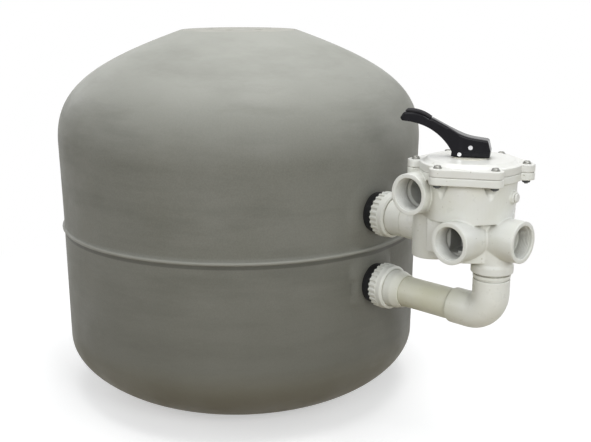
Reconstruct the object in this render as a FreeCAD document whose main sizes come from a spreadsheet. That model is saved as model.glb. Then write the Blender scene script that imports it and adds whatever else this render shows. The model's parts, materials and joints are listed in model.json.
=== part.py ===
import FreeCAD, Part
import math
import os
import re
import Sketcher
from FreeCAD import Placement, Rotation, Vector

# Side-mount sand filter. Origin on the tank's axis at the floor, +Z up, +X out through the unions.

# Driving dimensions, in millimetres and degrees
SIZES = {
    # Tank
    "seam_radius": 320,
    "low_wall_draft": 2.5,
    "high_wall_draft": 2.9,
    "base_radius": 147,
    "corner_rise": 106,
    "corner_fullness": 0.49,
    "seam_height": 311,
    "shoulder_height": 461,
    "shoulder_rise": 89.7,
    "crown_radius": 103.3,
    "crown_height": 648.6,
    "crown_slope": 19.8,
    "crown_reach": 167.3,
    "crown_camber": 2.4,
    "tank_wall": 8,
    "bead_radius": 3,
    # Tank mouth and its screw-in lid
    "mouth_radius": 78.4,
    "neck_wall": 9.6,
    "neck_depth": 28,
    "lid_seat_depth": 8,
    "lid_seat_clearance": 0.4,
    "lip_width": 3,
    "access_thread_clearance": 0.4,
    "access_plug_depth": 24,
    "access_plug_wall": 9,
    "wrench_hole_radius": 7,
    "wrench_hole_depth": 5,
    "wrench_circle": 52,
    "access_ring_radius": 2,
    # Tank ports
    "boss_proud": 6,
    "boss_radius": 34,
    "boss_flare": 8,
    "boss_inset": 12,
    "union_mid_rise": 0.5,
    "port_spacing": 119,
    # Unions
    "gasket_thickness": 2.5,
    "bulkhead_radius": 32.6,
    "bulkhead_flange": 13.2,
    "barrel_radius": 27,
    "barrel_clearance": 0.5,
    "barrel_length": 32,
    "union_thread_radius": 32,
    "union_thread_length": 17,
    "union_bore": 20.5,
    "lock_nut_radius": 38,
    "lock_nut_thickness": 12,
    "fit_gap": 0.3,
    "union_nut_radius": 36.2,
    "union_nut_length": 25,
    "nut_rib_depth": 1.9,
    "nut_rib_length": 13,
    "nut_rib_width": 4.6,
    "nut_rib_count": 26,
    "nut_chamfer": 3,
    "tail_flange": 5,
    "tail_radius": 30,
    "tail_taper_share": 0.4,
    "tail_lip": 1.6,
    "upper_tail_length": 69,
    "lower_tail_length": 67,
    "face_ring_radius": 1.7,
    # Lower pipe and elbow
    "pipe_radius": 24.15,
    "pipe_wall": 3.7,
    "socket_depth": 26,
    "glue_gap": 0.1,
    "elbow_radius": 27.3,
    "elbow_bend": 34,
    "elbow_socket": 30,
    "elbow_rise": 22.5,
    "nipple_collar": 27.6,
    "nipple_collar_length": 4,
    # Valve body
    "valve_reach": 177,
    "drop_offset": 45.5,
    "drop_collar_radius": 31,
    "drop_collar_length": 11,
    "drop_depth": 52,
    "drop_passage": 14,
    "pot_low_radius": 67,
    "pot_top_radius": 69.5,
    "pot_rise": 24.5,
    "parting_rise": 94,
    "spider_rise": 35.5,
    "chamber_radius": 56,
    "manifold_radius": 58,
    "manifold_depth": 34,
    "pillar_depth": 42,
    "port_radius": 30.75,
    "thread_bore": 23.9,
    "thread_depth": 30,
    "waste_thread_depth": 24,
    "passage_radius": 16,
    "pump_passage_radius": 19.5,
    "tank_passage_gap": 41,
    "crossing_radius": 8,
    "crossing_depth": 22.5,
    "crossing_length": 42,
    "crossing_angle": 131,
    "root_back": 29,
    "root_short": 18,
    "root_depth": 24,
    "pump_port_offset": 50,
    "pump_port_rise": 60,
    "pump_port_reach": 81,
    "pillar_back": 18,
    "return_port_offset": 24,
    "return_port_reach": 80,
    "waste_port_reach": 95,
    "sector_angle": 48,
    "sector_inner_radius": 17,
    "sector_outer_radius": 53,
    "shallow_well": 12,
    "side_well": 20,
    "deep_well": 31,
    "gauge_angle": 8,
    "gauge_boss_radius": 9.4,
    "gauge_boss_proud": 4,
    "gauge_bore": 4.8,
    "gauge_plug_rim": 2,
    "gauge_plug_proud": 3.2,
    "gauge_plug_depth": 12,
    # Bolted joint of the valve
    "bolt_circle": 80,
    "ear_radius": 12,
    "flange_radius": 74,
    "body_flange": 11.7,
    "lid_flange": 11.5,
    "bolt_radius": 3,
    "bolt_clearance": 0.4,
    "bolt_head_radius": 5.2,
    "bolt_head_height": 2.7,
    "washer_radius": 6.2,
    "washer_thickness": 1.2,
    "nut_flats": 10,
    "nut_height": 5,
    "bolt_end": 2,
    "relief_radius": 12,
    "relief_height": 30,
    "relief_tip_radius": 1.5,
    "relief_inset": 8,
    "nut_recess_radius": 6.3,
    "nut_recess_depth": 1,
    "nut_pocket_radius": 7.5,
    "nut_pocket_depth": 6.6,
    # Valve lid
    "plateau_radius": 62.5,
    "plateau_base": 69,
    "plateau_rise": 17,
    "spigot_depth": 7,
    "spigot_wall": 7,
    "spigot_clearance": 0.4,
    "lid_skin": 7.5,
    "stem_boss_radius": 14,
    "lid_ring_circle": 61,
    "lid_ring_radius": 1.6,
    # Selector inside the valve
    "spider_gasket_thickness": 2.5,
    "rotor_radius": 54.5,
    "rotor_disc": 10,
    "rotor_hub_radius": 22,
    "rotor_hub_rise": 6,
    "stem_radius": 8.7,
    "running_gap": 0.07,
    "stem_top": 6,
    "stem_ring_radius": 1,
    "spring_radius": 17,
    "spring_wire": 1.6,
    "spring_turns": 6,
    "spring_washer_radius": 20.5,
    "wear_washer_radius": 26,
    "wear_washer_thickness": 1.2,
    # Handle
    "handle_azimuth": 210,
    "pivot_rise": 16,
    "handle_foot_gap": 0.6,
    "fork_half_width": 14,
    "fork_slot_half_width": 9.1,
    "fork_slot_reach": 13,
    "fork_reach": 28,
    "heel_reach": 27.5,
    "heel_rise": 11,
    "arm_half_width": 8.5,
    "tip_half_width": 12.5,
    "arm_skin": 3,
    "hollow_tip_wall": 8.3,
    "hollow_roof": 39,
    "hollow_waist_rise": 30,
    "hollow_throat_rise": 16,
    "hollow_start_rise": 10,
    "tip_reach": 104.3,
    "tip_rise": 39.5,
    "tip_undercut": 4.3,
    "tip_depth": 4,
    "foot_lean": 0.5,
    "foot_height": 7,
    "throat_reach": 25,
    "throat_rise": 23.6,
    "cheek_reach": 4,
    "cheek_rise": 13.6,
    "heel_bevel": 3,
    "heel_lean": 1,
    "heel_drop": 4.5,
    "flare_reach": 17,
    "flare_length": 17,
    "waist_reach": 58,
    "palm_reach": 84,
    "tip_bevel": 6,
    "tip_bevel_start": 4,
    "belly_radius": 86.7,
    "throat_radius": 79,
    "pad_centre_reach": 90.2,
    "pad_centre_rise": -1.9,
    "pad_radius": 53.5,
    "pad_thickness": 2.6,
    "pad_front_angle": 84,
    "pad_rear_angle": 126,
    "pad_heel_angle": 128.5,
    "pivot_pin_radius": 3.2,
    "pin_head_radius": 4.4,
    "pin_head": 1.8,
    "fulcrum_pin_radius": 2.9,
    "fulcrum_reach": 15.5,
    "fulcrum_cover": 1,
    # Inside the tank
    "inner_pipe_radius": 20,
    "inner_pipe_wall": 2.5,
    "inner_bend": 42,
    "riser_reach": 185,
    "riser_share": 0.242,
    "inner_socket": 14,
    "diffuser_radius": 60,
    "diffuser_height": 42,
    "hub_radius": 44,
    "hub_bottom": 68,
    "hub_height": 50,
    "hub_socket": 20,
    "lateral_height": 92,
    "lateral_radius": 9.5,
    "lateral_start": 30,
    "lateral_reach": 232,
    "lateral_count": 8,
    "relief_tube_radius": 4,
    "relief_tube_reach": 70,
    "relief_tube_gap": 58.6,
    "strainer_radius": 8,
    "strainer_length": 26,
}

# Places worked out from the sizes
LOW_WALL = "(seam_radius - low_wall_draft)"
HIGH_WALL = "(seam_radius + high_wall_draft)"
FACE = "(seam_radius + boss_proud)"
VALVE = f"({FACE} + valve_reach)"
DROP = f"({VALVE} + drop_offset)"
UPPER = "(seam_height + union_mid_rise + port_spacing / 2)"
LOWER = "(seam_height + union_mid_rise - port_spacing / 2)"
PARTING = f"({UPPER} + parting_rise)"
SPIDER = f"({UPPER} + spider_rise)"
NUT_START = "(gasket_thickness + bulkhead_flange + fit_gap)"
THREAD_END = "(gasket_thickness + bulkhead_flange + union_thread_length)"
LID_SEAT = "(crown_height - lid_seat_depth)"
LID_RADIUS = "(crown_radius - lip_width - lid_seat_clearance)"
ROTOR_BASE = f"({SPIDER} + spider_gasket_thickness + fit_gap)"
ROTOR_TOP = f"({ROTOR_BASE} + rotor_disc + rotor_hub_rise)"
LID_CEILING = f"({PARTING} + plateau_rise - lid_skin)"
WASHER_TOP = f"({PARTING} + plateau_rise + wear_washer_thickness)"
PIVOT = f"({WASHER_TOP} + pivot_rise - wear_washer_thickness)"
FOOT = "(pivot_rise - wear_washer_thickness - handle_foot_gap)"
RISER_TOP = f"({UPPER} + inner_bend + riser_share * (crown_height - {UPPER} - inner_bend))"
RELIEF_TOP = "(crown_height - relief_tube_gap)"
FLANGE_LOW = f"({PARTING} - body_flange)"
NUT_SEAT = f"({FLANGE_LOW} + nut_recess_depth)"
FULCRUM_RISE = "(fulcrum_pin_radius + fulcrum_cover - " + FOOT + ")"

# The six bolt ears and the straight sides between alternate pairs of them
EAR_ANGLES = range(30, 390, 60)
SIDE_ANGLES = range(60, 420, 120)

# An arc in an outline turns left or right of the way the outline runs
LEFT = 1
RIGHT = -1

ALONG_X = Rotation(Vector(0, 1, 0), 90)
ALONG_MINUS_Y = Rotation(Vector(1, 0, 0), 90)
UPRIGHT = Rotation()

doc = FreeCAD.newDocument("sand_filter")
sheet = doc.addObject("Spreadsheet::Sheet", "Sizes")
for row, (alias, value) in enumerate(SIZES.items(), start=1):
    sheet.set(f"A{row}", alias)
    sheet.set(f"B{row}", str(value))
    sheet.setAlias(f"B{row}", alias)
doc.recompute()

nodes = []


def formula(text):
    """Put the sheet's name before each size in an expression."""
    return re.sub(r"[a-z][a-z_]+", lambda word: "Sizes." + word[0] if word[0] in SIZES else word[0], text)


def number(text):
    """The value that an expression has now."""
    return float(sheet.evalExpression(formula(text)))


def bind(thing, **sizes):
    for name, text in sizes.items():
        thing.setExpression(name, formula(text))


def place(thing, x="0", y="0", z="0", turn=UPRIGHT):
    """Stand a thing at a place that follows the sheet."""
    thing.Placement = Placement(Vector(number(x), number(y), number(z)), turn)
    for letter, text in (("x", x), ("y", y), ("z", z)):
        if text != "0":
            thing.setExpression("Placement.Base." + letter, formula(text))
    return thing


def keep(thing, label):
    """Count a finished thing among the sub-parts."""
    thing.Label = label
    nodes.append(thing)
    return thing


# Sketches and features

def arc_between(start, end, radius, side):
    """The short arc from start to end that turns to the given side."""
    chord = end - start
    normal = Vector(-chord.y, chord.x, 0).normalize() * side
    centre = (start + end) * 0.5 + normal * math.sqrt(max(0, radius ** 2 - (chord.Length / 2) ** 2))
    first, last = (start, end) if side == LEFT else (end, start)
    angles = [math.atan2(point.y - centre.y, point.x - centre.x) for point in (first, last)]
    return Part.ArcOfCircle(Part.Circle(centre, Vector(0, 0, 1), radius), angles[0], angles[1])


def constrain(sketch, kind, places, text):
    """Add a dimension that follows the sheet."""
    index = sketch.addConstraint(Sketcher.Constraint(kind, *places, number(text)))
    sketch.setExpression(f"Constraints[{index}]", formula(text))


def fix(sketch, edge, end, x, y):
    """Hold one point of a sketch at x, y."""
    for kind, axis, text in (("DistanceX", -2, x), ("DistanceY", -1, y)):
        if text == "0":
            sketch.addConstraint(Sketcher.Constraint("PointOnObject", edge, end, axis))
        else:
            constrain(sketch, kind, (-1, 1, edge, end), text)


def draw(sketch, outline):
    """Draw a closed outline of corners (x, y), or (x, y, radius, side) where an arc leads on."""
    corners = [Vector(number(corner[0]), number(corner[1])) for corner in outline]
    first = sketch.GeometryCount
    ends = []
    for index, corner in enumerate(outline):
        start, end = corners[index], corners[(index + 1) % len(outline)]
        if len(corner) == 2:
            sketch.addGeometry(Part.LineSegment(start, end))
            ends.append((1, 2))
        else:
            sketch.addGeometry(arc_between(start, end, number(corner[2]), corner[3]))
            ends.append((1, 2) if corner[3] == LEFT else (2, 1))
    for index, corner in enumerate(outline):
        after = (index + 1) % len(outline)
        joined = (first + index, ends[index][1], first + after, ends[after][0])
        sketch.addConstraint(Sketcher.Constraint("Coincident", *joined))
        fix(sketch, first + index, ends[index][0], corner[0], corner[1])
        if len(corner) == 4:
            constrain(sketch, "Radius", (first + index,), corner[2])


def circle(sketch, radius, x="0", y="0"):
    centre = Vector(number(x), number(y))
    edge = sketch.addGeometry(Part.Circle(centre, Vector(0, 0, 1), number(radius)))
    fix(sketch, edge, 3, x, y)
    constrain(sketch, "Radius", (edge,), radius)


def body_named(name):
    return doc.addObject("PartDesign::Body", name)


def sketch_in(body, name, plane="XY_Plane", offset="0"):
    """A sketch on one of the body's own planes, raised by an offset."""
    sketch = body.newObject("Sketcher::SketchObject", name)
    support = [feature for feature in body.Origin.OriginFeatures if feature.Role == plane][0]
    sketch.AttachmentSupport = [(support, "")]
    sketch.MapMode = "FlatFace"
    if offset != "0":
        sketch.AttachmentOffset = Placement(Vector(0, 0, number(offset)), Rotation())
        sketch.setExpression("AttachmentOffset.Base.z", formula(offset))
    return sketch


def extrude(body, kind, sketch, length, reverse=False, symmetric=False):
    """Pad or pocket a sketch by a length."""
    feature = body.newObject("PartDesign::" + kind, sketch.Name + "_" + kind.lower())
    feature.Profile = sketch
    feature.Reversed = reverse
    if symmetric:
        feature.SideType = "Symmetric"
    bind(feature, Length=length)
    return feature


def revolve(body, name, outline, kind="Revolution"):
    """Turn an outline of radius and height about the body's upright axis."""
    sketch = sketch_in(body, name, "XZ_Plane")
    draw(sketch, outline)
    feature = body.newObject("PartDesign::" + kind, name + "_turned")
    feature.Profile = sketch
    feature.ReferenceAxis = (sketch, ["V_Axis"])
    feature.Angle = 360
    return feature


def repeat_round(body, name, features, count):
    """Repeat features evenly round the body's upright axis."""
    pattern = body.newObject("PartDesign::PolarPattern", name)
    pattern.Originals = features
    pattern.Axis = ([axis for axis in body.Origin.OriginFeatures if axis.Role == "Z_Axis"][0], [""])
    pattern.Angle = 360
    bind(pattern, Occurrences=count)
    body.Tip = pattern
    return pattern


def turned_part(label, outline, **where):
    """A sub-part that is one turned outline."""
    body = body_named(label)
    revolve(body, label + "_section", outline)
    place(body, **where)
    return keep(body, label)


def ring_section(inner, outer, low, high):
    return [(inner, low), (outer, low), (outer, high), (inner, high)]


# Primitives and booleans

def cylinder(name, radius, height, x="0", y="0", z="0", turn=UPRIGHT, angle=None):
    thing = doc.addObject("Part::Cylinder", name)
    bind(thing, Radius=radius, Height=height)
    if angle:
        bind(thing, Angle=angle)
    return place(thing, x, y, z, turn)


def cone(name, low_radius, top_radius, height, x="0", y="0", z="0"):
    thing = doc.addObject("Part::Cone", name)
    bind(thing, Radius1=low_radius, Radius2=top_radius, Height=height)
    return place(thing, x, y, z)


def fuse(name, shapes):
    thing = doc.addObject("Part::MultiFuse", name)
    thing.Shapes = shapes
    thing.Refine = True
    return thing


def cut(name, base, tool):
    thing = doc.addObject("Part::Cut", name)
    thing.Base = base
    thing.Tool = tool
    thing.Refine = True
    return thing


def torus(label, radius, section, **where):
    ring = doc.addObject("Part::Torus", label)
    bind(ring, Radius1=radius, Radius2=section)
    place(ring, **where)
    return keep(ring, label)


def turned_point(along, across, angle):
    """A point given along and across a direction at an angle from +X."""
    x = f"({along}) * cos({angle} deg) - ({across}) * sin({angle} deg)"
    y = f"({along}) * sin({angle} deg) + ({across}) * cos({angle} deg)"
    return x, y


# Tank

def size(alias):
    return number(alias)


def corner_curve(inset):
    """The tank's lower corner, from its flat base to its wall."""
    base, wall, rise, full = size("base_radius"), number(LOW_WALL), size("corner_rise"), size("corner_fullness")
    start = Vector(base, 0, inset)
    end = Vector(wall - inset, 0, rise)
    curve = Part.BezierCurve()
    pull = Vector((end.x - start.x) * full, 0, 0), Vector(0, 0, (end.z - start.z) * full)
    curve.setPoles([start, start + pull[0], end - pull[1], end])
    return curve


def shoulder_curve(inset, top):
    """The tank's shoulder, from its wall to the height where its flat crown starts."""
    slope = math.radians(size("crown_slope"))
    start = Vector(number(HIGH_WALL) - inset, 0, size("shoulder_height"))
    end = Vector(size("crown_radius"), 0, top)
    reach = size("crown_reach") - inset
    curve = Part.BezierCurve()
    pull = Vector(math.cos(slope), 0, -math.sin(slope)) * reach
    curve.setPoles([start, start + Vector(0, 0, size("shoulder_rise")), end + pull, end])
    return curve


def path_of(points):
    """Straight edges through points of radius and height."""
    places = [Vector(radius, 0, height) for radius, height in points]
    return [Part.makeLine(start, end) for start, end in zip(places, places[1:])]


def turned_shape(edges):
    """The solid that closed edges make when turned about the tank's axis."""
    face = Part.Face(Part.Wire(Part.__sortEdges__(edges)))
    return face.revolve(Vector(0, 0, 0), Vector(0, 0, 1), 360)


def port_boss(height):
    """The flared moulded boss round a tank port, and the hole through it."""
    face, inset = number(FACE), size("boss_inset") + size("boss_proud")
    start = Vector(face - inset, 0, height)
    boss = Part.makeCone(size("boss_radius") + size("boss_flare"), size("boss_radius"), inset, start, Vector(1, 0, 0))
    hole = Part.makeCylinder(size("barrel_radius") + size("barrel_clearance"), 3 * inset,
                             start - Vector(inset, 0, 0), Vector(1, 0, 0))
    return boss, hole


def bead_arc(rise):
    """The outside of half the seam bead, above or below the seam."""
    seam, height, bead = size("seam_radius"), size("seam_height"), size("bead_radius")
    start = Vector(seam, 0, height + rise * bead)
    middle = Vector(seam + bead * math.sin(math.pi / 4), 0, height + rise * bead * math.cos(math.pi / 4))
    end = Vector(seam + bead, 0, height)
    return Part.Arc(start, middle, end).toShape()


def tank_lower_shell():
    wall, seam, height = size("tank_wall"), size("seam_radius"), size("seam_height")
    bead, base = size("bead_radius"), size("base_radius")
    low, rise = number(LOW_WALL), size("corner_rise")
    outside = path_of([(0, 0), (base, 0)])
    outside += [corner_curve(0).toShape()] + path_of([(low, rise), (seam, height - bead)]) + [bead_arc(-1)]
    inside = path_of([(seam + bead, height), (seam - wall, height), (low - wall, rise)])
    inside += [corner_curve(wall).toShape()]
    inside += path_of([(base, wall), (0, wall), (0, 0)])
    shape = turned_shape(outside + inside)
    boss, hole = port_boss(number(LOWER))
    shell = doc.addObject("Part::Feature", "tank_lower_shell")
    shell.Shape = shape.fuse(boss).cut(hole).removeSplitter()
    return keep(shell, "tank_lower_shell")


def tank_upper_shell():
    wall, seam, height = size("tank_wall"), size("seam_radius"), size("seam_height")
    bead, high, shoulder = size("bead_radius"), number(HIGH_WALL), size("shoulder_height")
    crown, top, lip = size("crown_radius"), size("crown_height"), size("lip_width")
    seat, mouth, neck = number(LID_SEAT), size("mouth_radius"), size("mouth_radius") + size("neck_wall")
    outside = path_of([(seam, height + bead), (high, shoulder)]) + [shoulder_curve(0, top).toShape()]
    mouth_path = [(crown, top), (crown - lip, top), (crown - lip, seat), (mouth, seat)]
    mouth_path += [(mouth, seat - size("neck_depth")), (neck, seat - size("neck_depth"))]
    mouth_path += [(neck, seat - wall), (crown, seat - wall)]
    inside = [shoulder_curve(wall, seat - wall).toShape()]
    inside += path_of([(high - wall, shoulder), (seam - wall, height), (seam + bead, height)])
    shape = turned_shape([bead_arc(1)] + outside + path_of(mouth_path) + inside)
    boss, hole = port_boss(number(UPPER))
    shell = doc.addObject("Part::Feature", "tank_upper_shell")
    shell.Shape = shape.fuse(boss).cut(hole).removeSplitter()
    return keep(shell, "tank_upper_shell")


def access_lid():
    """The screw-in lid of the tank's mouth, with holes for its wrench."""
    top, thread = "(crown_height + crown_camber)", "(mouth_radius - access_thread_clearance)"
    inner = f"({thread} - access_plug_wall)"
    seat, end = f"({LID_SEAT} + fit_gap)", f"({LID_SEAT} + fit_gap - access_plug_depth)"
    camber = f"(({LID_RADIUS} ^ 2 + crown_camber ^ 2) / (2 * crown_camber))"
    groove, half = f"({LID_RADIUS} - 3 * access_ring_radius)", "(access_ring_radius + 0.1)"
    body = body_named("access_lid")
    revolve(body, "access_lid_section", [
        ("0", f"{seat} - access_plug_wall"), (inner, f"{seat} - access_plug_wall"), (inner, end), (thread, end),
        (thread, seat), (f"{groove} - {half}", seat), (f"{groove} - {half}", f"{seat} + 1.9 * access_ring_radius"),
        (f"{groove} + {half}", f"{seat} + 1.9 * access_ring_radius"), (f"{groove} + {half}", seat),
        (LID_RADIUS, seat), (LID_RADIUS, "crown_height", camber, LEFT), ("0", top)])
    hole = sketch_in(body, "wrench_hole", "XY_Plane", top)
    circle(hole, "wrench_hole_radius", "wrench_circle")
    pocket = extrude(body, "Pocket", hole, "wrench_hole_depth + crown_camber")
    repeat_round(body, "wrench_holes", [pocket], "6")
    keep(body, "access_lid")
    torus("access_lid_o_ring", groove, "access_ring_radius", z=f"{seat} + 0.88 * access_ring_radius")


# Unions between the tank and the valve

def union(side, height, tail_length, tail_end):
    """One tank union: bulkhead fitting, gasket, lock nut, face ring, tail and ribbed nut."""
    where = dict(x=FACE, z=height, turn=ALONG_X)
    inside = "-(boss_inset + boss_proud)"
    thread_end, flange_end = THREAD_END, "(gasket_thickness + bulkhead_flange)"
    groove, half = "(union_bore + 5.5)", "(face_ring_radius + 0.1)"
    turned_part(side + "_bulkhead", [
        ("union_bore", f"{inside} - barrel_length + boss_inset"),
        ("barrel_radius", f"{inside} - barrel_length + boss_inset"), ("barrel_radius", "gasket_thickness"),
        ("bulkhead_radius", "gasket_thickness"), ("bulkhead_radius", flange_end),
        ("union_thread_radius", flange_end), ("union_thread_radius", thread_end),
        (f"{groove} + {half}", thread_end), (f"{groove} + {half}", f"{thread_end} - 2.05 * face_ring_radius"),
        (f"{groove} - {half}", f"{thread_end} - 2.05 * face_ring_radius"), (f"{groove} - {half}", thread_end),
        ("union_bore", thread_end)], **where)
    turned_part(side + "_bulkhead_gasket",
                ring_section("barrel_radius + fit_gap", "bulkhead_radius - 0.5", "0", "gasket_thickness"), **where)
    turned_part(side + "_union_o_ring", [
        (f"{groove} - face_ring_radius", f"{thread_end} - face_ring_radius", "face_ring_radius", LEFT),
        (f"{groove} + face_ring_radius", f"{thread_end} - face_ring_radius", "face_ring_radius", LEFT)], **where)
    lock_nut(side, inside, where)
    union_tail(side, tail_length, tail_end, where)
    union_nut(side, where)


def lock_nut(side, inside, where):
    """The nut inside the tank that clamps the bulkhead fitting, with flats for a spanner."""
    body = body_named(side + "_lock_nut")
    revolve(body, side + "_lock_nut_section",
            ring_section("barrel_radius + fit_gap", "lock_nut_radius", f"{inside} - lock_nut_thickness", inside))
    flat = sketch_in(body, side + "_lock_nut_flat", "XY_Plane", inside)
    reach = "lock_nut_radius * cos(30 deg) * 1.04"
    draw(flat, [(reach, "-lock_nut_radius"), ("lock_nut_radius + 1", "-lock_nut_radius"),
                ("lock_nut_radius + 1", "lock_nut_radius"), (reach, "lock_nut_radius")])
    pocket = extrude(body, "Pocket", flat, "lock_nut_thickness")
    repeat_round(body, side + "_lock_nut_flats", [pocket], "6")
    place(body, **where)
    keep(body, side + "_lock_nut")


def union_tail(side, length, end_radius, where):
    """The tail that the union nut draws against the bulkhead fitting."""
    start = f"({THREAD_END} + fit_gap)"
    taper = f"({length} - tail_taper_share * ({length} - {start}))"
    socket = f"({length} - socket_depth)" if side == "lower" else length
    outline = [("union_bore", start), ("union_thread_radius - 0.1", start),
               ("union_thread_radius - 0.1", f"{start} + tail_flange"), ("tail_radius", f"{start} + tail_flange"),
               ("tail_radius", taper), (end_radius, length)]
    if side == "lower":
        outline += [("pipe_radius + glue_gap", length), ("pipe_radius + glue_gap", socket), ("union_bore", socket)]
    else:
        outline += [("union_bore", length)]
    turned_part(side + "_union_tail", outline, **where)


def union_nut(side, where):
    """The ribbed nut that holds the union together."""
    start, shoulder = NUT_START, f"({THREAD_END} + fit_gap + tail_flange + fit_gap)"
    end = f"({NUT_START} + union_nut_length)"
    smooth = "(union_nut_radius - nut_rib_depth / 2)"
    body = body_named(side + "_union_nut")
    revolve(body, side + "_union_nut_section", [
        ("union_thread_radius + fit_gap", start), ("union_nut_radius", start),
        ("union_nut_radius", f"{start} + nut_rib_length"), (smooth, f"{start} + nut_rib_length + 1"),
        (smooth, f"{end} - nut_chamfer"), (f"{smooth} - nut_chamfer", end), ("tail_radius + fit_gap", end),
        ("tail_radius + fit_gap", shoulder), ("union_thread_radius + fit_gap", shoulder)])
    gap = sketch_in(body, side + "_nut_gap", "XY_Plane", start)
    draw(gap, [("union_nut_radius - nut_rib_depth", "-nut_rib_width / 2"), ("union_nut_radius + 1", "-nut_rib_width / 2"),
               ("union_nut_radius + 1", "nut_rib_width / 2"), ("union_nut_radius - nut_rib_depth", "nut_rib_width / 2")])
    pocket = extrude(body, "Pocket", gap, "nut_rib_length", reverse=True)
    repeat_round(body, side + "_nut_gaps", [pocket], "nut_rib_count")
    place(body, **where)
    keep(body, side + "_union_nut")


# Lower pipework

def lower_pipe():
    start = f"({FACE} + lower_tail_length - socket_depth + 1)"
    end = f"({DROP} - elbow_bend - elbow_socket + socket_depth - 1)"
    turned_part("lower_pipe", ring_section("pipe_radius - pipe_wall", "pipe_radius", "0", f"{end} - {start}"),
                x=start, z=LOWER, turn=ALONG_X)


def elbow():
    """A swept quarter bend with a long socket for the pipe and a short one for the nipple."""
    body = body_named("elbow")
    section = sketch_in(body, "elbow_section", "XY_Plane")
    circle(section, "elbow_radius", "elbow_bend")
    bend = body.newObject("PartDesign::Revolution", "elbow_bend_turned")
    bend.Profile = section
    bend.ReferenceAxis = (section, ["V_Axis"])
    bend.Angle = 90
    up = sketch_in(body, "elbow_up", "XY_Plane")
    circle(up, "elbow_radius", "elbow_bend")
    extrude(body, "Pad", up, "elbow_rise")
    back = sketch_in(body, "elbow_back", "YZ_Plane")
    circle(back, "elbow_radius", "0", "-elbow_bend")
    extrude(body, "Pad", back, "elbow_socket", reverse=True)
    for name, plane, x, y, depth in (("elbow_up_socket", "XY_Plane", "elbow_bend", "0", "elbow_rise"),
                                     ("elbow_back_socket", "YZ_Plane", "0", "-elbow_bend", "elbow_socket")):
        socket = sketch_in(body, name, plane, depth if plane == "XY_Plane" else f"-{depth}")
        circle(socket, "pipe_radius + glue_gap", x, y)
        length = "socket_depth" if plane == "YZ_Plane" else "elbow_rise + 6"
        extrude(body, "Pocket", socket, length, reverse=(plane == "YZ_Plane"))
    bore = sketch_in(body, "elbow_bore", "XY_Plane")
    circle(bore, "pipe_radius - pipe_wall", "elbow_bend")
    groove = body.newObject("PartDesign::Groove", "elbow_bore_turned")
    groove.Profile = bore
    groove.ReferenceAxis = (bore, ["V_Axis"])
    groove.Angle = 90
    end = sketch_in(body, "elbow_bore_end", "YZ_Plane", "-elbow_socket")
    circle(end, "pipe_radius - pipe_wall", "0", "-elbow_bend")
    extrude(body, "Pocket", end, "elbow_socket", reverse=True)
    place(body, x=f"{DROP} - elbow_bend", z=f"{LOWER} + elbow_bend")
    keep(body, "elbow")


def bottom_nipple():
    """The short pipe that joins the elbow to the valve, with a stop collar."""
    bottom = f"({LOWER} + elbow_bend - 5)"
    elbow_top = f"({LOWER} + elbow_bend + elbow_rise + fit_gap)"
    collar = f"({elbow_top} + 3)"
    top = f"({UPPER} - drop_depth + 18)"
    neck = "pipe_radius + 1.2"
    turned_part("bottom_nipple", [
        ("pipe_radius - pipe_wall", bottom), ("pipe_radius", bottom), ("pipe_radius", elbow_top), (neck, elbow_top),
        (neck, collar), ("nipple_collar", collar), ("nipple_collar", f"{collar} + nipple_collar_length"),
        ("pipe_radius", f"{collar} + nipple_collar_length"), ("pipe_radius", top),
        ("pipe_radius - pipe_wall", top)], x=DROP)


# Valve

def flange_outline(sketch):
    """Round flange with six bolt ears, alternate pairs of ears joined by a straight side."""
    away = "bolt_circle * cos(30 deg) + ear_radius"
    side = "sqrt(flange_radius ^ 2 - ear_radius ^ 2)"
    outline = []
    for middle in SIDE_ANGLES:
        left, right = middle + 30, middle - 30
        outline += [
            (*turned_point(side, "-ear_radius", right),),
            (*turned_point("bolt_circle", "-ear_radius", right), "ear_radius", LEFT),
            (*turned_point(away, "-bolt_circle / 2", middle),),
            (*turned_point(away, "bolt_circle / 2", middle), "ear_radius", LEFT),
            (*turned_point("bolt_circle", "ear_radius", left),),
            (*turned_point(side, "ear_radius", left), "flange_radius", LEFT)]
    draw(sketch, outline)


def flange_plate(name, height, thickness):
    body = body_named(name)
    sketch = sketch_in(body, name + "_outline", "XY_Plane", height)
    flange_outline(sketch)
    extrude(body, "Pad", sketch, thickness)
    return body


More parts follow.
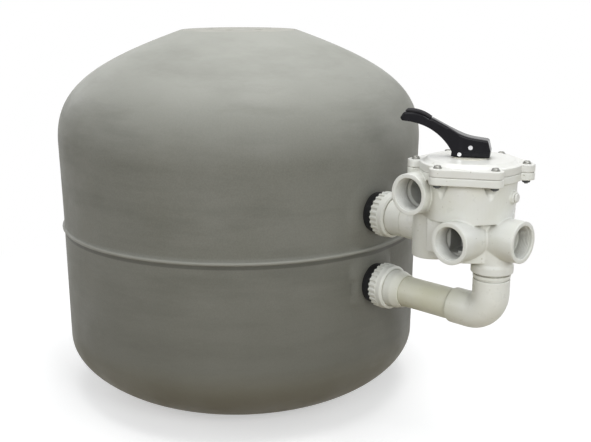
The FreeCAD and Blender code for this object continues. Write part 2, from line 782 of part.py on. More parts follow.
def valve_tubes():
    """The solid outside of the valve body, ports included."""
    parts = [place(flange_plate("body_flange_plate", f"{PARTING} - body_flange", "body_flange"), x=VALVE)]
    pot_bottom = f"({UPPER} + pot_rise)"
    manifold_bottom = f"({UPPER} - manifold_depth)"
    pillar_bottom = f"({UPPER} - pillar_depth)"
    pump_x = f"{VALVE} - pump_port_offset"
    pump_z = f"{UPPER} + pump_port_rise"
    parts.append(cone("pot", "pot_low_radius", "pot_top_radius", f"{PARTING} - {pot_bottom}", VALVE, "0", pot_bottom))
    parts.append(cylinder("manifold", "manifold_radius", "manifold_depth + pot_rise", VALVE, "0", manifold_bottom))
    parts.append(cylinder("pillar", "port_radius", "pillar_depth + pump_port_rise",
                          pump_x, "-pillar_back", pillar_bottom))
    knee = doc.addObject("Part::Sphere", "pump_knee")
    bind(knee, Radius="port_radius")
    parts.append(place(knee, pump_x, "-pillar_back", pump_z))
    parts.append(cylinder("pump_tube", "port_radius", "pump_port_reach - pillar_back",
                          pump_x, "-pillar_back", pump_z, ALONG_MINUS_Y))
    parts.append(cylinder("return_tube", "port_radius", "return_port_reach",
                          f"{VALVE} + return_port_offset", "0", UPPER, ALONG_MINUS_Y))
    parts.append(cylinder("through_tube", "port_radius", "valve_reach - upper_tail_length + waste_port_reach - fit_gap",
                          f"{FACE} + upper_tail_length + fit_gap", "0", UPPER, ALONG_X))
    block = doc.addObject("Part::Box", "return_root")
    bind(block, Length="return_port_offset + root_back", Width="return_port_reach - root_short",
         Height="pot_rise + root_depth")
    parts.append(place(block, f"{VALVE} - root_back", "root_short - return_port_reach", f"{UPPER} - root_depth"))
    drop_bottom = f"({UPPER} - drop_depth)"
    parts.append(cylinder("drop_collar", "drop_collar_radius", "drop_collar_length", DROP, "0", drop_bottom))
    parts.append(cylinder("drop_tube", "drop_collar_radius - 2.5", "drop_depth", DROP, "0", drop_bottom))
    parts.append(cone("drop_peak", "drop_collar_radius", "2", "drop_depth - drop_collar_length - 1",
                      DROP, "0", f"{drop_bottom} + drop_collar_length"))
    turn = Rotation(Vector(0, 0, 1), size("gauge_angle")) * ALONG_X
    parts.append(cylinder("gauge_boss", "gauge_boss_radius", "pot_top_radius + gauge_boss_proud",
                          VALVE, "0", pump_z, turn))
    return fuse("valve_outside", parts)


def sector(name, middle, bottom, height):
    """A wedge of the selector's ring of openings."""
    turn = Rotation(Vector(0, 0, 1), middle - size("sector_angle") / 2)
    return cylinder(name, "sector_outer_radius", height, VALVE, "0", bottom, turn, angle="sector_angle")


def valve_wells():
    """The six wells under the selector, each as deep as its passage needs."""
    depths = {0: "shallow_well", 60: "deep_well", 120: "shallow_well",
              180: "side_well", 240: "shallow_well", 300: "side_well"}
    wells = [sector(f"well_{middle}", middle, f"{UPPER} - {depth}", f"{depth} + spider_rise + 1")
             for middle, depth in depths.items()]
    hub = cylinder("well_hub", "sector_inner_radius", "2 * spider_rise + 60", VALVE, "0", f"{UPPER} - 50")
    return cut("wells", fuse("well_sectors", wells), hub)


def valve_hollows():
    """Everything that is cut out of the valve body."""
    pump_x = f"({VALVE} - pump_port_offset)"
    pump_z = f"({UPPER} + pump_port_rise)"
    return_x = f"({VALVE} + return_port_offset)"
    waste_face = f"({VALVE} + waste_port_reach)"
    drop_bottom = f"({UPPER} - drop_depth)"
    depth, over = "thread_depth", "1"
    hollows = [valve_wells()]
    hollows.append(cylinder("chamber", "chamber_radius", f"{PARTING} - {SPIDER} + {over}", VALVE, "0", SPIDER))
    hollows.append(cylinder("pump_thread", "thread_bore", f"{depth} + {over}",
                            pump_x, f"{depth} - pump_port_reach", pump_z, ALONG_MINUS_Y))
    hollows.append(cylinder("pump_passage", "pump_passage_radius", "pump_port_reach - pillar_back - 10",
                            pump_x, "-pillar_back", pump_z, ALONG_MINUS_Y))
    hollows.append(cylinder("pump_crossing", "pump_passage_radius", "pump_port_offset - 15",
                            pump_x, "-pillar_back", pump_z, ALONG_X))
    hollows.append(cylinder("return_thread", "thread_bore", f"{depth} + {over}",
                            return_x, f"{depth} - return_port_reach", UPPER, ALONG_MINUS_Y))
    hollows.append(cylinder("return_passage", "passage_radius", "return_port_reach - 30",
                            return_x, "-30", UPPER, ALONG_MINUS_Y))
    hollows.append(cylinder("waste_thread", "thread_bore", f"waste_thread_depth + {over}",
                            f"{waste_face} - waste_thread_depth", "0", UPPER, ALONG_X))
    hollows.append(cylinder("waste_passage", "drop_passage", "waste_port_reach - sector_outer_radius",
                            f"{VALVE} + sector_outer_radius - 3", "0", UPPER, ALONG_X))
    hollows.append(cylinder("tank_top_passage", "union_bore", "valve_reach - upper_tail_length - tank_passage_gap",
                            f"{FACE} + upper_tail_length - {over}", "0", UPPER, ALONG_X))
    hollows.append(cylinder("drop_thread", "pipe_radius + glue_gap", f"20 + {over}",
                            DROP, "0", f"{drop_bottom} - {over}"))
    hollows.append(cylinder("drop_rise", "drop_passage", "drop_depth - crossing_depth", DROP, "0", drop_bottom))
    turn = Rotation(Vector(0, 0, 1), size("crossing_angle")) * ALONG_X
    hollows.append(cylinder("drop_crossing", "crossing_radius", "crossing_length", DROP, "0",
                            f"{UPPER} - crossing_depth", turn))
    hollows.append(ring_groove())
    gauge = Rotation(Vector(0, 0, 1), size("gauge_angle")) * ALONG_X
    hollows.append(cylinder("gauge_hole", "gauge_bore + glue_gap", "pot_top_radius + 10", VALVE, "0", pump_z, gauge))
    hollows += bolt_cuts()
    return fuse("valve_inside", hollows)


def ring_groove():
    """The groove for the lid's ring in the body flange."""
    half = "(lid_ring_radius + 0.1)"
    groove = body_named("lid_ring_groove")
    revolve(groove, "lid_ring_groove_section",
            ring_section(f"lid_ring_circle - {half}", f"lid_ring_circle + {half}", f"{PARTING} - 2.05 * lid_ring_radius",
                         f"{PARTING} + 1"))
    return place(groove, x=VALVE)


def bolt_cuts():
    """Bolt holes, nut recesses and the reliefs that let a spanner reach the nuts under the ears."""
    cuts = []
    for angle in EAR_ANGLES:
        x, y = turned_point("bolt_circle", "0", angle)
        x = f"{VALVE} + {x}"
        cuts.append(cylinder(f"bolt_hole_{angle}", "bolt_radius + bolt_clearance", "body_flange + 2",
                             x, y, f"{FLANGE_LOW} - 1"))
        cuts.append(cylinder(f"nut_recess_{angle}", "nut_recess_radius", "nut_recess_depth + 1",
                             x, y, f"{FLANGE_LOW} - 1"))
        if angle == 210:
            cuts.append(cylinder("nut_pocket", "nut_pocket_radius", "nut_pocket_depth",
                                 x, y, f"{FLANGE_LOW} - nut_pocket_depth"))
        else:
            x, y = turned_point("bolt_circle - relief_inset", "0", angle)
            cuts.append(cone(f"nut_relief_{angle}", "relief_tip_radius", "relief_radius", "relief_height",
                             f"{VALVE} + {x}", y, f"{FLANGE_LOW} - relief_height"))
    return cuts


def valve_body():
    keep(cut("valve_body", valve_tubes(), valve_hollows()), "valve_body")


def valve_lid():
    """The valve's lid: flange, raised plateau, spigot and stem boss."""
    top, bore = f"({PARTING} + plateau_rise)", "(stem_radius + running_gap)"
    spigot = "(chamber_radius - spigot_clearance)"
    inner = f"({spigot} - spigot_wall)"
    body = body_named("valve_lid")
    sketch = sketch_in(body, "lid_flange_outline", "XY_Plane", PARTING)
    flange_outline(sketch)
    extrude(body, "Pad", sketch, "lid_flange")
    hollow = sketch_in(body, "lid_hollow", "XY_Plane", PARTING)
    circle(hollow, inner)
    extrude(body, "Pocket", hollow, "lid_flange", reverse=True)
    revolve(body, "lid_section", [
        (bore, f"{PARTING} - spigot_depth / 2"), ("stem_boss_radius", f"{PARTING} - spigot_depth / 2"),
        ("stem_boss_radius", LID_CEILING), (f"{inner} - 5", LID_CEILING), (inner, f"{LID_CEILING} - 5"),
        (inner, f"{PARTING} - spigot_depth"), (spigot, f"{PARTING} - spigot_depth"), (spigot, PARTING),
        ("plateau_base", PARTING), ("plateau_base", f"{PARTING} + lid_flange"),
        ("plateau_radius + 1.5", f"{top} - 1.5", "2.2", LEFT), ("plateau_radius - 1", top), (bore, top)])
    x, y = turned_point("bolt_circle", "0", 30)
    hole = sketch_in(body, "lid_bolt_hole", "XY_Plane", PARTING)
    circle(hole, "bolt_radius + bolt_clearance", x, y)
    pocket = extrude(body, "Pocket", hole, "lid_flange", reverse=True)
    repeat_round(body, "lid_bolt_holes", [pocket], "6")
    place(body, x=VALVE)
    keep(body, "valve_lid")
    torus("valve_lid_o_ring", "lid_ring_circle", "lid_ring_radius", x=VALVE, z=f"{PARTING} - lid_ring_radius")


def round_set(label, levels):
    """Six alike pieces on the bolt circle, each a stack of round or six-sided slices."""
    body = body_named(label)
    x, y = turned_point("bolt_circle", "0", 30)
    slices = []
    for index, (shape, radius, bottom, height, bore) in enumerate(levels):
        sketch = sketch_in(body, f"{label}_slice_{index}", "XY_Plane", bottom)
        if shape == "hexagon":
            corners = [turned_point(radius, "0", 60 * corner) for corner in range(6)]
            draw(sketch, [(f"{x} + {corner[0]}", f"{y} + {corner[1]}") for corner in corners])
        else:
            circle(sketch, radius, x, y)
        if bore:
            circle(sketch, bore, x, y)
        slices.append(extrude(body, "Pad", sketch, height))
    repeat_round(body, label + "_round", slices, "6")
    place(body, x=VALVE)
    keep(body, label)


def lid_fasteners():
    """Bolts, washers and nuts that clamp the valve's lid."""
    seat, nut_end = f"({PARTING} + lid_flange)", f"({NUT_SEAT} - nut_height)"
    head = f"({seat} + washer_thickness)"
    round_set("lid_washers", [("round", "washer_radius", seat, "washer_thickness", "bolt_radius + 0.1")])
    round_set("lid_bolts", [
        ("round", "bolt_radius", f"{nut_end} - bolt_end", f"{head} - {nut_end} + bolt_end", None),
        ("round", "bolt_head_radius", head, "bolt_head_height", None)])
    round_set("lid_nuts", [("hexagon", "nut_flats / (2 * cos(30 deg))", nut_end, "nut_height", "bolt_radius + 0.1")])


def gauge_plug():
    """The plug that closes the pressure gauge port."""
    face, rim = "(pot_top_radius + gauge_boss_proud)", "gauge_bore + gauge_plug_rim"
    turn = Rotation(Vector(0, 0, 1), size("gauge_angle")) * ALONG_X
    turned_part("gauge_plug", [
        ("0", f"{face} - gauge_plug_depth"), ("gauge_bore", f"{face} - gauge_plug_depth"), ("gauge_bore", face),
        (rim, face), (rim, f"{face} + gauge_plug_proud / 2"), ("gauge_bore + 1", f"{face} + gauge_plug_proud"),
        ("0", f"{face} + gauge_plug_proud")], x=VALVE, z=f"{UPPER} + pump_port_rise", turn=turn)


# Selector inside the valve

def sectors_cut(name, base, middles, bottom, height):
    """Cut some of the wedge openings through a disc."""
    wedges = [sector(f"{name}_wedge_{middle}", middle, bottom, height) for middle in middles]
    joined = fuse(name + "_wedges", wedges) if len(wedges) > 1 else wedges[0]
    hub = cylinder(name + "_hub", "sector_inner_radius", height, VALVE, "0", bottom)
    return cut(name, base, cut(name + "_openings", joined, hub))


def spider_gasket():
    disc = cylinder("gasket_disc", "rotor_radius", "spider_gasket_thickness", VALVE, "0", SPIDER)
    keep(sectors_cut("spider_gasket", disc, range(0, 360, 60), SPIDER, "spider_gasket_thickness"), "spider_gasket")


def rotor():
    """The diverter disc with its stem, which picks the wells that are joined."""
    tip = f"({PIVOT} + stem_top)"
    disc_top = f"({ROTOR_BASE} + rotor_disc)"
    groove = "stem_ring_radius * 1.1"
    low_ring, high_ring = f"({LID_CEILING} - 5)", f"({LID_CEILING} + 2)"
    body = body_named("rotor_turned")
    outline = [("0", ROTOR_BASE), ("rotor_radius - 1", ROTOR_BASE), ("rotor_radius", f"{ROTOR_BASE} + 1"),
               ("rotor_radius", f"{disc_top} - 3"), ("rotor_radius - 3", disc_top), ("rotor_hub_radius", disc_top),
               ("rotor_hub_radius", ROTOR_TOP), ("stem_radius", ROTOR_TOP)]
    for height in (low_ring, high_ring):
        outline += [("stem_radius", f"{height} - {groove}"), ("stem_radius - 2.1 * stem_ring_radius", f"{height} - {groove}"),
                    ("stem_radius - 2.1 * stem_ring_radius", f"{height} + {groove}"), ("stem_radius", f"{height} + {groove}")]
    outline += [("stem_radius", f"{tip} - 1.5"), ("stem_radius - 1.5", tip), ("0", tip)]
    revolve(body, "rotor_section", outline)
    place(body, x=VALVE)
    window = sectors_cut("rotor_windowed", body, (300,), f"{ROTOR_BASE} - 1", "rotor_disc + 2")
    channel = sectors_cut("rotor_channelled", window, (60, 120, 180), f"{ROTOR_BASE} - 1", "rotor_disc - 2")
    turn = Rotation(Vector(0, 0, 1), size("handle_azimuth")) * ALONG_MINUS_Y
    hole = cylinder("stem_hole", "pivot_pin_radius + running_gap", "4 * stem_radius", z=PIVOT, turn=turn)
    place(hole, f"{VALVE} - 2 * stem_radius * sin(handle_azimuth * 1 deg)",
          "2 * stem_radius * cos(handle_azimuth * 1 deg)", PIVOT, turn)
    keep(cut("rotor", channel, hole), "rotor")


def stem_o_rings():
    body = body_named("stem_o_rings")
    middle = "stem_radius - 1.03 * stem_ring_radius"
    for index, height in enumerate((f"({LID_CEILING} - 5)", f"({LID_CEILING} + 2)")):
        revolve(body, f"stem_ring_{index}", [
            (f"{middle} - stem_ring_radius", height, "stem_ring_radius", LEFT),
            (f"{middle} + stem_ring_radius", height, "stem_ring_radius", LEFT)])
    place(body, x=VALVE)
    keep(body, "stem_o_rings")


def spring_parts():
    """The spring that presses the rotor down, between two washers."""
    low, high = f"({ROTOR_TOP} + washer_thickness)", f"({LID_CEILING} - washer_thickness - fit_gap)"
    washer = "stem_boss_radius + 0.5"
    turned_part("lower_spring_washer", ring_section("stem_radius + fit_gap", "spring_washer_radius", ROTOR_TOP, low), x=VALVE)
    turned_part("upper_spring_washer", ring_section(washer, "spring_washer_radius", high, f"{high} + washer_thickness"),
                x=VALVE)
    rise = f"({high} - {low} - 2 * spring_wire - 0.2)"
    helix = doc.addObject("Part::Helix", "spring_line")
    bind(helix, Radius="spring_radius", Height=rise, Pitch=f"{rise} / spring_turns")
    section = doc.addObject("Part::Circle", "spring_wire_section")
    bind(section, Radius="spring_wire")
    place(section, x="spring_radius", turn=ALONG_MINUS_Y)
    coil = doc.addObject("Part::Sweep", "spring")
    coil.Sections = [section]
    coil.Spine = (helix, ["Edge1"])
    coil.Solid = True
    coil.Frenet = True
    place(coil, VALVE, "0", f"{low} + spring_wire + 0.1")
    keep(coil, "spring")


def wear_washer():
    turned_part("wear_washer", ring_section("stem_radius + 1", "wear_washer_radius", f"{PARTING} + plateau_rise", WASHER_TOP),
                x=VALVE)


# Handle

def pad_point(radius, angle):
    """A point on the curve of the handle's grip."""
    x = f"pad_centre_reach + ({radius}) * cos(({angle}) * 1 deg)"
    y = f"pad_centre_rise + ({radius}) * sin(({angle}) * 1 deg)"
    return x, y


def handle():
    """The lever: side outline, narrowed in plan, hollowed below, with a fork for the stem."""
    body = body_named("handle")
    bed = "pad_radius - pad_thickness"
    side = sketch_in(body, "handle_side", "XZ_Plane")
    draw(side, [
        ("-heel_reach", f"-{FOOT}"), ("fork_reach", f"-{FOOT}"),
        ("fork_reach - foot_lean", f"foot_height - {FOOT}", "belly_radius", RIGHT),
        ("tip_reach - tip_undercut", "tip_rise - tip_depth"), ("tip_reach", "tip_rise"),
        pad_point(bed, "pad_front_angle - 3"), (*pad_point(bed, "pad_front_angle - 1"), bed, LEFT),
        pad_point(bed, "pad_rear_angle"), pad_point("pad_radius", "pad_heel_angle"),
        ("throat_reach", "throat_rise", "throat_radius", RIGHT), ("-cheek_reach", "cheek_rise"),
        ("heel_bevel - heel_reach", "heel_rise"), ("-heel_reach - heel_lean", "-heel_drop")])
    extrude(body, "Pad", side, "2 * fork_half_width", symmetric=True)
    for name, way in (("near", "-"), ("far", "")):
        plan = sketch_in(body, f"handle_plan_{name}", "XY_Plane", "2 * tip_rise")
        far, arm, palm = f"{way}(fork_half_width + 3)", f"{way}arm_half_width", f"{way}tip_half_width"
        draw(plan, [
            ("flare_reach", far), ("flare_reach", f"{way}fork_half_width"), ("flare_reach + flare_length", arm),
            ("waist_reach", arm), ("palm_reach", palm), ("tip_reach - tip_bevel_start", palm),
            ("tip_reach + 2", f"{way}(tip_half_width - tip_bevel)"), ("tip_reach + 2", far)])
        extrude(body, "Pocket", plan, "3 * tip_rise")
    hollow_handle(body)
    turn = Rotation(Vector(0, 0, 1), size("handle_azimuth"))
    place(body, VALVE, "0", PIVOT, turn)
    keep(body, "handle")


def hollow_handle(body):
    """Open the handle from below, make the fork's slot and drill its pin holes."""
    start, end, below = "fork_reach - foot_lean + arm_skin", "tip_reach - hollow_tip_wall", f"-{FOOT} - 5"
    under = sketch_in(body, "handle_under", "XZ_Plane")
    draw(under, [(start, below), (end, below), (end, "hollow_roof"), ("palm_reach - 4", "hollow_roof"),
                 ("waist_reach + 2", "hollow_waist_rise"), ("fork_reach + 2", "hollow_throat_rise"),
                 (start, "hollow_start_rise")])
    extrude(body, "Pocket", under, "2 * (arm_half_width - arm_skin)", symmetric=True)
    slot = sketch_in(body, "fork_slot", "XZ_Plane")
    draw(slot, [("-fork_slot_reach", f"-{FOOT} - 1"), ("fork_slot_reach", f"-{FOOT} - 1"),
                ("fork_slot_reach", "stem_top + 2"), ("-fork_slot_reach", "stem_top + 2")])
    extrude(body, "Pocket", slot, "2 * fork_slot_half_width", symmetric=True)
    pins = sketch_in(body, "handle_pin_holes", "XZ_Plane")
    circle(pins, "pivot_pin_radius + running_gap")
    circle(pins, "fulcrum_pin_radius + running_gap", "fulcrum_reach", FULCRUM_RISE)
    extrude(body, "Pocket", pins, "3 * fork_half_width", symmetric=True)


def grip_pad():
    """The grip's insert, laid in the bed on top of the lever."""
    body = body_named("grip_pad")
    bed = "pad_radius - pad_thickness + 0.05"
    side = sketch_in(body, "grip_side", "XZ_Plane")
    draw(side, [(*pad_point(bed, "pad_front_angle"), bed, LEFT), pad_point(bed, "pad_rear_angle - 1"),
                (*pad_point("pad_radius", "pad_rear_angle + 1"), "pad_radius", RIGHT),
                pad_point("pad_radius", "pad_front_angle")])
    extrude(body, "Pad", side, "2 * (tip_half_width - 1)", symmetric=True)
    for name, way in (("near", "-"), ("far", "")):
        plan = sketch_in(body, f"grip_plan_{name}", "XY_Plane", "2 * tip_rise")
        arm, palm, far = (f"{way}({edge})" for edge in ("arm_half_width - 1", "tip_half_width - 1", "tip_half_width + 2"))
        draw(plan, [("waist_reach - 8", arm), ("waist_reach", arm), ("palm_reach", palm), ("palm_reach", far),
                    ("waist_reach - 8", far)])
        extrude(body, "Pocket", plan, "2 * tip_rise")
    turn = Rotation(Vector(0, 0, 1), size("handle_azimuth"))
    place(body, VALVE, "0", PIVOT, turn)
    keep(body, "grip_pad")


def handle_pin(label, radius, reach, rise):
    """A headed pin across the handle's fork."""
    head = "fork_half_width + fit_gap"
    body = body_named(label)
    revolve(body, label + "_section", [
        ("0", f"-({head}) - pin_head"), ("pin_head_radius - 1", f"-({head}) - pin_head"),
        ("pin_head_radius", f"-({head}) - pin_head + 1"), ("pin_head_radius", f"-({head})"), (radius, f"-({head})"),
        (radius, head), ("0", head)])
    turn = Rotation(Vector(0, 0, 1), size("handle_azimuth")) * Rotation(Vector(1, 0, 0), -90)
    across = "handle_azimuth * 1 deg"
    place(body, f"{VALVE} + ({reach}) * cos({across})", f"({reach}) * sin({across})", f"{PIVOT} + ({rise})", turn)
    keep(body, label)


def handle_pins():
    handle_pin("pivot_pin", "pivot_pin_radius", "0", "0")
    handle_pin("fulcrum_pin", "fulcrum_pin_radius", "fulcrum_reach", FULCRUM_RISE)


# Inside the tank

def bent_pipe(label, run, bend_up, rise, height):
    """A pipe that runs inward from a bulkhead fitting and turns up or down."""
    start = f"({FACE} - boss_inset - boss_proud - barrel_length + boss_inset + 8)"
    way = "" if bend_up else "-"
    body = body_named(label)
    path = sketch_in(body, label + "_path", "XZ_Plane")
    corner = f"({run} + inner_bend)"
    path.addGeometry(Part.LineSegment(Vector(number(start), 0), Vector(number(corner), 0)))
    turn_end = Vector(number(run), number(f"{way}inner_bend"))
    side = RIGHT if bend_up else LEFT
    path.addGeometry(arc_between(Vector(number(corner), 0), turn_end, number("inner_bend"), side))
    path.addGeometry(Part.LineSegment(turn_end, Vector(number(run), number(f"{way}({rise})"))))
    arc_ends = (1, 2) if side == LEFT else (2, 1)
    path.addConstraint(Sketcher.Constraint("Coincident", 0, 2, 1, arc_ends[0]))
    path.addConstraint(Sketcher.Constraint("Coincident", 1, arc_ends[1], 2, 1))
    fix(path, 0, 1, start, "0")
    fix(path, 1, arc_ends[0], corner, "0")
    fix(path, 1, arc_ends[1], run, f"{way}inner_bend")
    fix(path, 2, 2, run, f"{way}({rise})")
    constrain(path, "Radius", (1,), "inner_bend")
    section = sketch_in(body, label + "_section", "YZ_Plane", start)
    circle(section, "inner_pipe_radius")
    circle(section, "inner_pipe_radius - inner_pipe_wall")
    pipe = body.newObject("PartDesign::AdditivePipe", label + "_swept")
    pipe.Profile = section
    pipe.Spine = path
    place(body, z=height)
    keep(body, label)


def tank_internals():
    """Inlet riser and diffuser above, collector pipe, hub and laterals below, and the air relief."""
    bent_pipe("inlet_riser", "riser_reach", True, f"{RISER_TOP} - {UPPER}", UPPER)
    bent_pipe("collector_pipe", "0", False, f"{LOWER} - hub_bottom - hub_height + hub_socket", LOWER)
    neck, low, top = "inner_pipe_radius + glue_gap", f"{RISER_TOP} - inner_socket", f"{RISER_TOP} + diffuser_height"
    seat = f"{RISER_TOP} + fit_gap"
    turned_part("inlet_diffuser", [
        (neck, low), (f"{neck} + 3", low), (f"{neck} + 3", f"{RISER_TOP} + 10"), ("diffuser_radius", f"{top} - 12"),
        ("diffuser_radius", top), ("diffuser_radius - 3", top), ("diffuser_radius - 3", f"{top} - 10"),
        (f"{neck} - 2", f"{RISER_TOP} + 12"), (f"{neck} - 2", seat), (neck, seat)], x="riser_reach")
    lateral_hub()
    laterals()
    base = f"({LOWER} + inner_pipe_radius + fit_gap)"
    turned_part("air_relief_tube",
                ring_section("relief_tube_radius - 1.2", "relief_tube_radius", base, RELIEF_TOP), x="relief_tube_reach")
    low, top, hole = f"{RELIEF_TOP} - 10", f"{RELIEF_TOP} - 10 + strainer_length", "relief_tube_radius + glue_gap"
    turned_part("relief_strainer", [
        (hole, low), ("strainer_radius", low), ("strainer_radius", f"{top} - 4"), ("strainer_radius - 4", top),
        ("0", top), ("0", f"{RELIEF_TOP} + fit_gap"), (hole, f"{RELIEF_TOP} + fit_gap")], x="relief_tube_reach")


def lateral_hub():
    body = body_named("lateral_hub")
    top, bore = "(hub_bottom + hub_height)", "inner_pipe_radius + glue_gap"
    revolve(body, "hub_section", [
        ("0", "hub_bottom"), ("hub_radius - 4", "hub_bottom"), ("hub_radius", "hub_bottom + 4"),
        ("hub_radius", f"{top} - 14"), ("inner_pipe_radius + 6", top), (bore, top), (bore, f"{top} - hub_socket - fit_gap"),
        (f"{bore} - 3", f"{top} - hub_socket - fit_gap"), (f"{bore} - 3", "hub_bottom + 6"), ("0", "hub_bottom + 6")])
    socket = sketch_in(body, "lateral_socket", "YZ_Plane", "lateral_start - 15")
    circle(socket, "lateral_radius + glue_gap", "0", "lateral_height")
    pocket = extrude(body, "Pocket", socket, "hub_radius", reverse=True)
    repeat_round(body, "lateral_sockets", [pocket], "lateral_count")
    keep(body, "lateral_hub")


def laterals():
    body = body_named("laterals")
    section = sketch_in(body, "lateral_end", "YZ_Plane", "lateral_start")
    circle(section, "lateral_radius", "0", "lateral_height")
    circle(section, "lateral_radius - 2", "0", "lateral_height")
    tube = extrude(body, "Pad", section, "lateral_reach - lateral_start - 4")
    cap = sketch_in(body, "lateral_cap", "YZ_Plane", "lateral_reach - 4")
    circle(cap, "lateral_radius", "0", "lateral_height")
    end = extrude(body, "Pad", cap, "4")
    repeat_round(body, "laterals_round", [tube, end], "lateral_count")
    keep(body, "laterals")


tank_lower_shell()
tank_upper_shell()
access_lid()
union("upper", UPPER, "upper_tail_length", "tail_radius")
union("lower", LOWER, "lower_tail_length", "pipe_radius + tail_lip")
lower_pipe()
elbow()
bottom_nipple()
valve_body()
valve_lid()
lid_fasteners()
gauge_plug()
spider_gasket()
rotor()
stem_o_rings()
spring_parts()
wear_washer()
handle()
grip_pad()
handle_pins()
tank_internals()
doc.recompute()

for thing in doc.Objects:
    if "Invalid" in thing.State or "Error" in thing.State:
        raise ValueError(f"{thing.Label} failed: {thing.State}")
for node in nodes:
    if node.Shape.isNull() or not node.Shape.isValid() or not node.Shape.Solids:
        raise ValueError(f"{node.Label} has no valid solid")

os.makedirs("parts", exist_ok=True)
for node in nodes:
    node.Shape.exportStep(f"parts/{node.Label}.step")
    print(node.Label, len(node.Shape.Solids), round(node.Shape.Volume))
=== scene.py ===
import json
import math

import bmesh
import bpy
from mathutils import Matrix, Vector, noise

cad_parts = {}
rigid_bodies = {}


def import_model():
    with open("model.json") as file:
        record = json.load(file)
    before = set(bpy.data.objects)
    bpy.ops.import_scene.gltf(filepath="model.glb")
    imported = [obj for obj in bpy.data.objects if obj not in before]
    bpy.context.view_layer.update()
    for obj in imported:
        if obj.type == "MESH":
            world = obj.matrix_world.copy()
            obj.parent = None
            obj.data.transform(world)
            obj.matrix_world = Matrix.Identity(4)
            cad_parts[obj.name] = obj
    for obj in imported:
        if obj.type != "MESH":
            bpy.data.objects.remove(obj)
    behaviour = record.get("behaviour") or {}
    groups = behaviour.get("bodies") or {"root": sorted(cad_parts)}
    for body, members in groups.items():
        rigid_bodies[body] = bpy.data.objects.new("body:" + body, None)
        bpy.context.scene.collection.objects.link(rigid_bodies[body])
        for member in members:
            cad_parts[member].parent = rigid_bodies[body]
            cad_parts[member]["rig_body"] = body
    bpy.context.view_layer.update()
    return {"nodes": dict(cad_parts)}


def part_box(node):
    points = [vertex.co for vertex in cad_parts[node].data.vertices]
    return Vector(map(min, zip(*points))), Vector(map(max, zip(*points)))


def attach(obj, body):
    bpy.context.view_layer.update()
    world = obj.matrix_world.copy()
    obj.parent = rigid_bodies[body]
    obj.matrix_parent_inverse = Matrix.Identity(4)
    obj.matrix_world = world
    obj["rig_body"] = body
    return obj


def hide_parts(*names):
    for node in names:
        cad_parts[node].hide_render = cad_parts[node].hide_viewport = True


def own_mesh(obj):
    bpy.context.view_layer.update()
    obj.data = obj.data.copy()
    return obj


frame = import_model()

# Sizes in metres and angles in radians, in the row frame

# The tank's outline
TANK_BASE_RADIUS = 0.147
TANK_CORNER_RISE = 0.106
TANK_CORNER_PULL = 0.49
TANK_LOW_RADIUS = 0.3175
TANK_SEAM_RADIUS = 0.320
TANK_SEAM_HEIGHT = 0.3088
TANK_HIGH_RADIUS = 0.3229
TANK_SHOULDER_HEIGHT = 0.461
TANK_SHOULDER_PULL = 0.0897
TANK_CROWN_RADIUS = 0.1033
TANK_CROWN_HEIGHT = 0.6486
TANK_CROWN_SLOPE = math.radians(19.8)
TANK_CROWN_PULL = 0.1673
TANK_LIP = 0.003
TANK_SEAT_DEPTH = 0.008
TANK_MOUTH_RADIUS = 0.0784
TANK_MOUTH_DEPTH = 0.028
TANK_MOUTH_WALL = 0.0096
TANK_WALL = 0.008
TANK_CORE_RADIUS = 0.02
BEAD_RADIUS = 0.0034
TANK_STEPS_ROUND = 480

# Where the walls wave and where they stay calm
WAVE = 0.0007
WAVE_CALM_RADIUS = 0.11
WAVE_CALM_HEIGHT = 0.004
BEAD_CALM_REACH = 0.006
PORT_CALM_REACH = 0.07
BEAD_WAVE = 0.0004

# The tank's two ports
UPPER_PORT = 0.371
LOWER_PORT = 0.252
PORT_FACE = 0.326
PORT_PAD_BACK = 0.0003
PORT_PAD_RADIUS = 0.0325
PORT_BLEND_RADIUS = 0.066
PORT_HOLE_RADIUS = 0.0275
PORT_DRILL = (-0.05, 0.02)
PORT_RING = ((PORT_HOLE_RADIUS, -0.018), (PORT_HOLE_RADIUS, -0.006), (0.036, -0.006), (0.042, -0.018))

# Mouldings: voxel size, smoothing passes, width of the rounded upper edges
MOULDED = {
    "valve_body": (0.00095, 5),
    "valve_lid": (0.0009, 5),
    "elbow": (0.0009, 8),
    "upper_union_nut": (0.0006, 4),
    "lower_union_nut": (0.0006, 4),
    "upper_union_tail": (0.0008, 4),
    "lower_union_tail": (0.0008, 4),
    "handle": (0.0006, 7, 0.0026),
    "grip_pad": (0.0005, 6),
    "upper_bulkhead": (0.0007, 3),
    "lower_bulkhead": (0.0007, 3),
    "access_lid": (0.0013, 2),
    "gauge_plug": (0.0004, 4),
}
SMOOTH_FACTOR = 0.5
WELD_DISTANCE = 1e-6

# The lever
LEVER_SIDE = (0.5, -0.8660254, 0)
LEVER_FLAT_ANGLE = 0.01
LEVER_SHARP_ANGLE = 0.7
LEVER_LEAST_RISE = 0.35
LEVER_PIN_CLEARANCE = 0.008
LEVER_EDGE_STEPS = 4

# The valve: its axis, spring and lid bolts
VALVE_X = 0.503
SPRING_RADIUS = 0.017
SPRING_WIRE = 0.0016
SPRING_TURNS = 6
SPRING_STEPS_PER_TURN = 60
WIRE_STEPS_ROUND = 16
BOLT_CIRCLE = 0.080
BOLT_COUNT = 6
FIRST_BOLT_DEGREES = 30.0
BOLT_PITCH = 0.0006
BOLT_TURNS = 14
SHANK_RADIUS = 0.003
HEAD_RADIUS = 0.0052
SOCKET_RADIUS = 0.0026
BOLT_HOLE_RADIUS = 0.0031
NUT_HALF_WIDTH = 0.005
WASHER_RADIUS = 0.0062
BOLT_STEPS_ROUND = 48
WASHER_STEPS_ROUND = 64
HEXAGON = 6

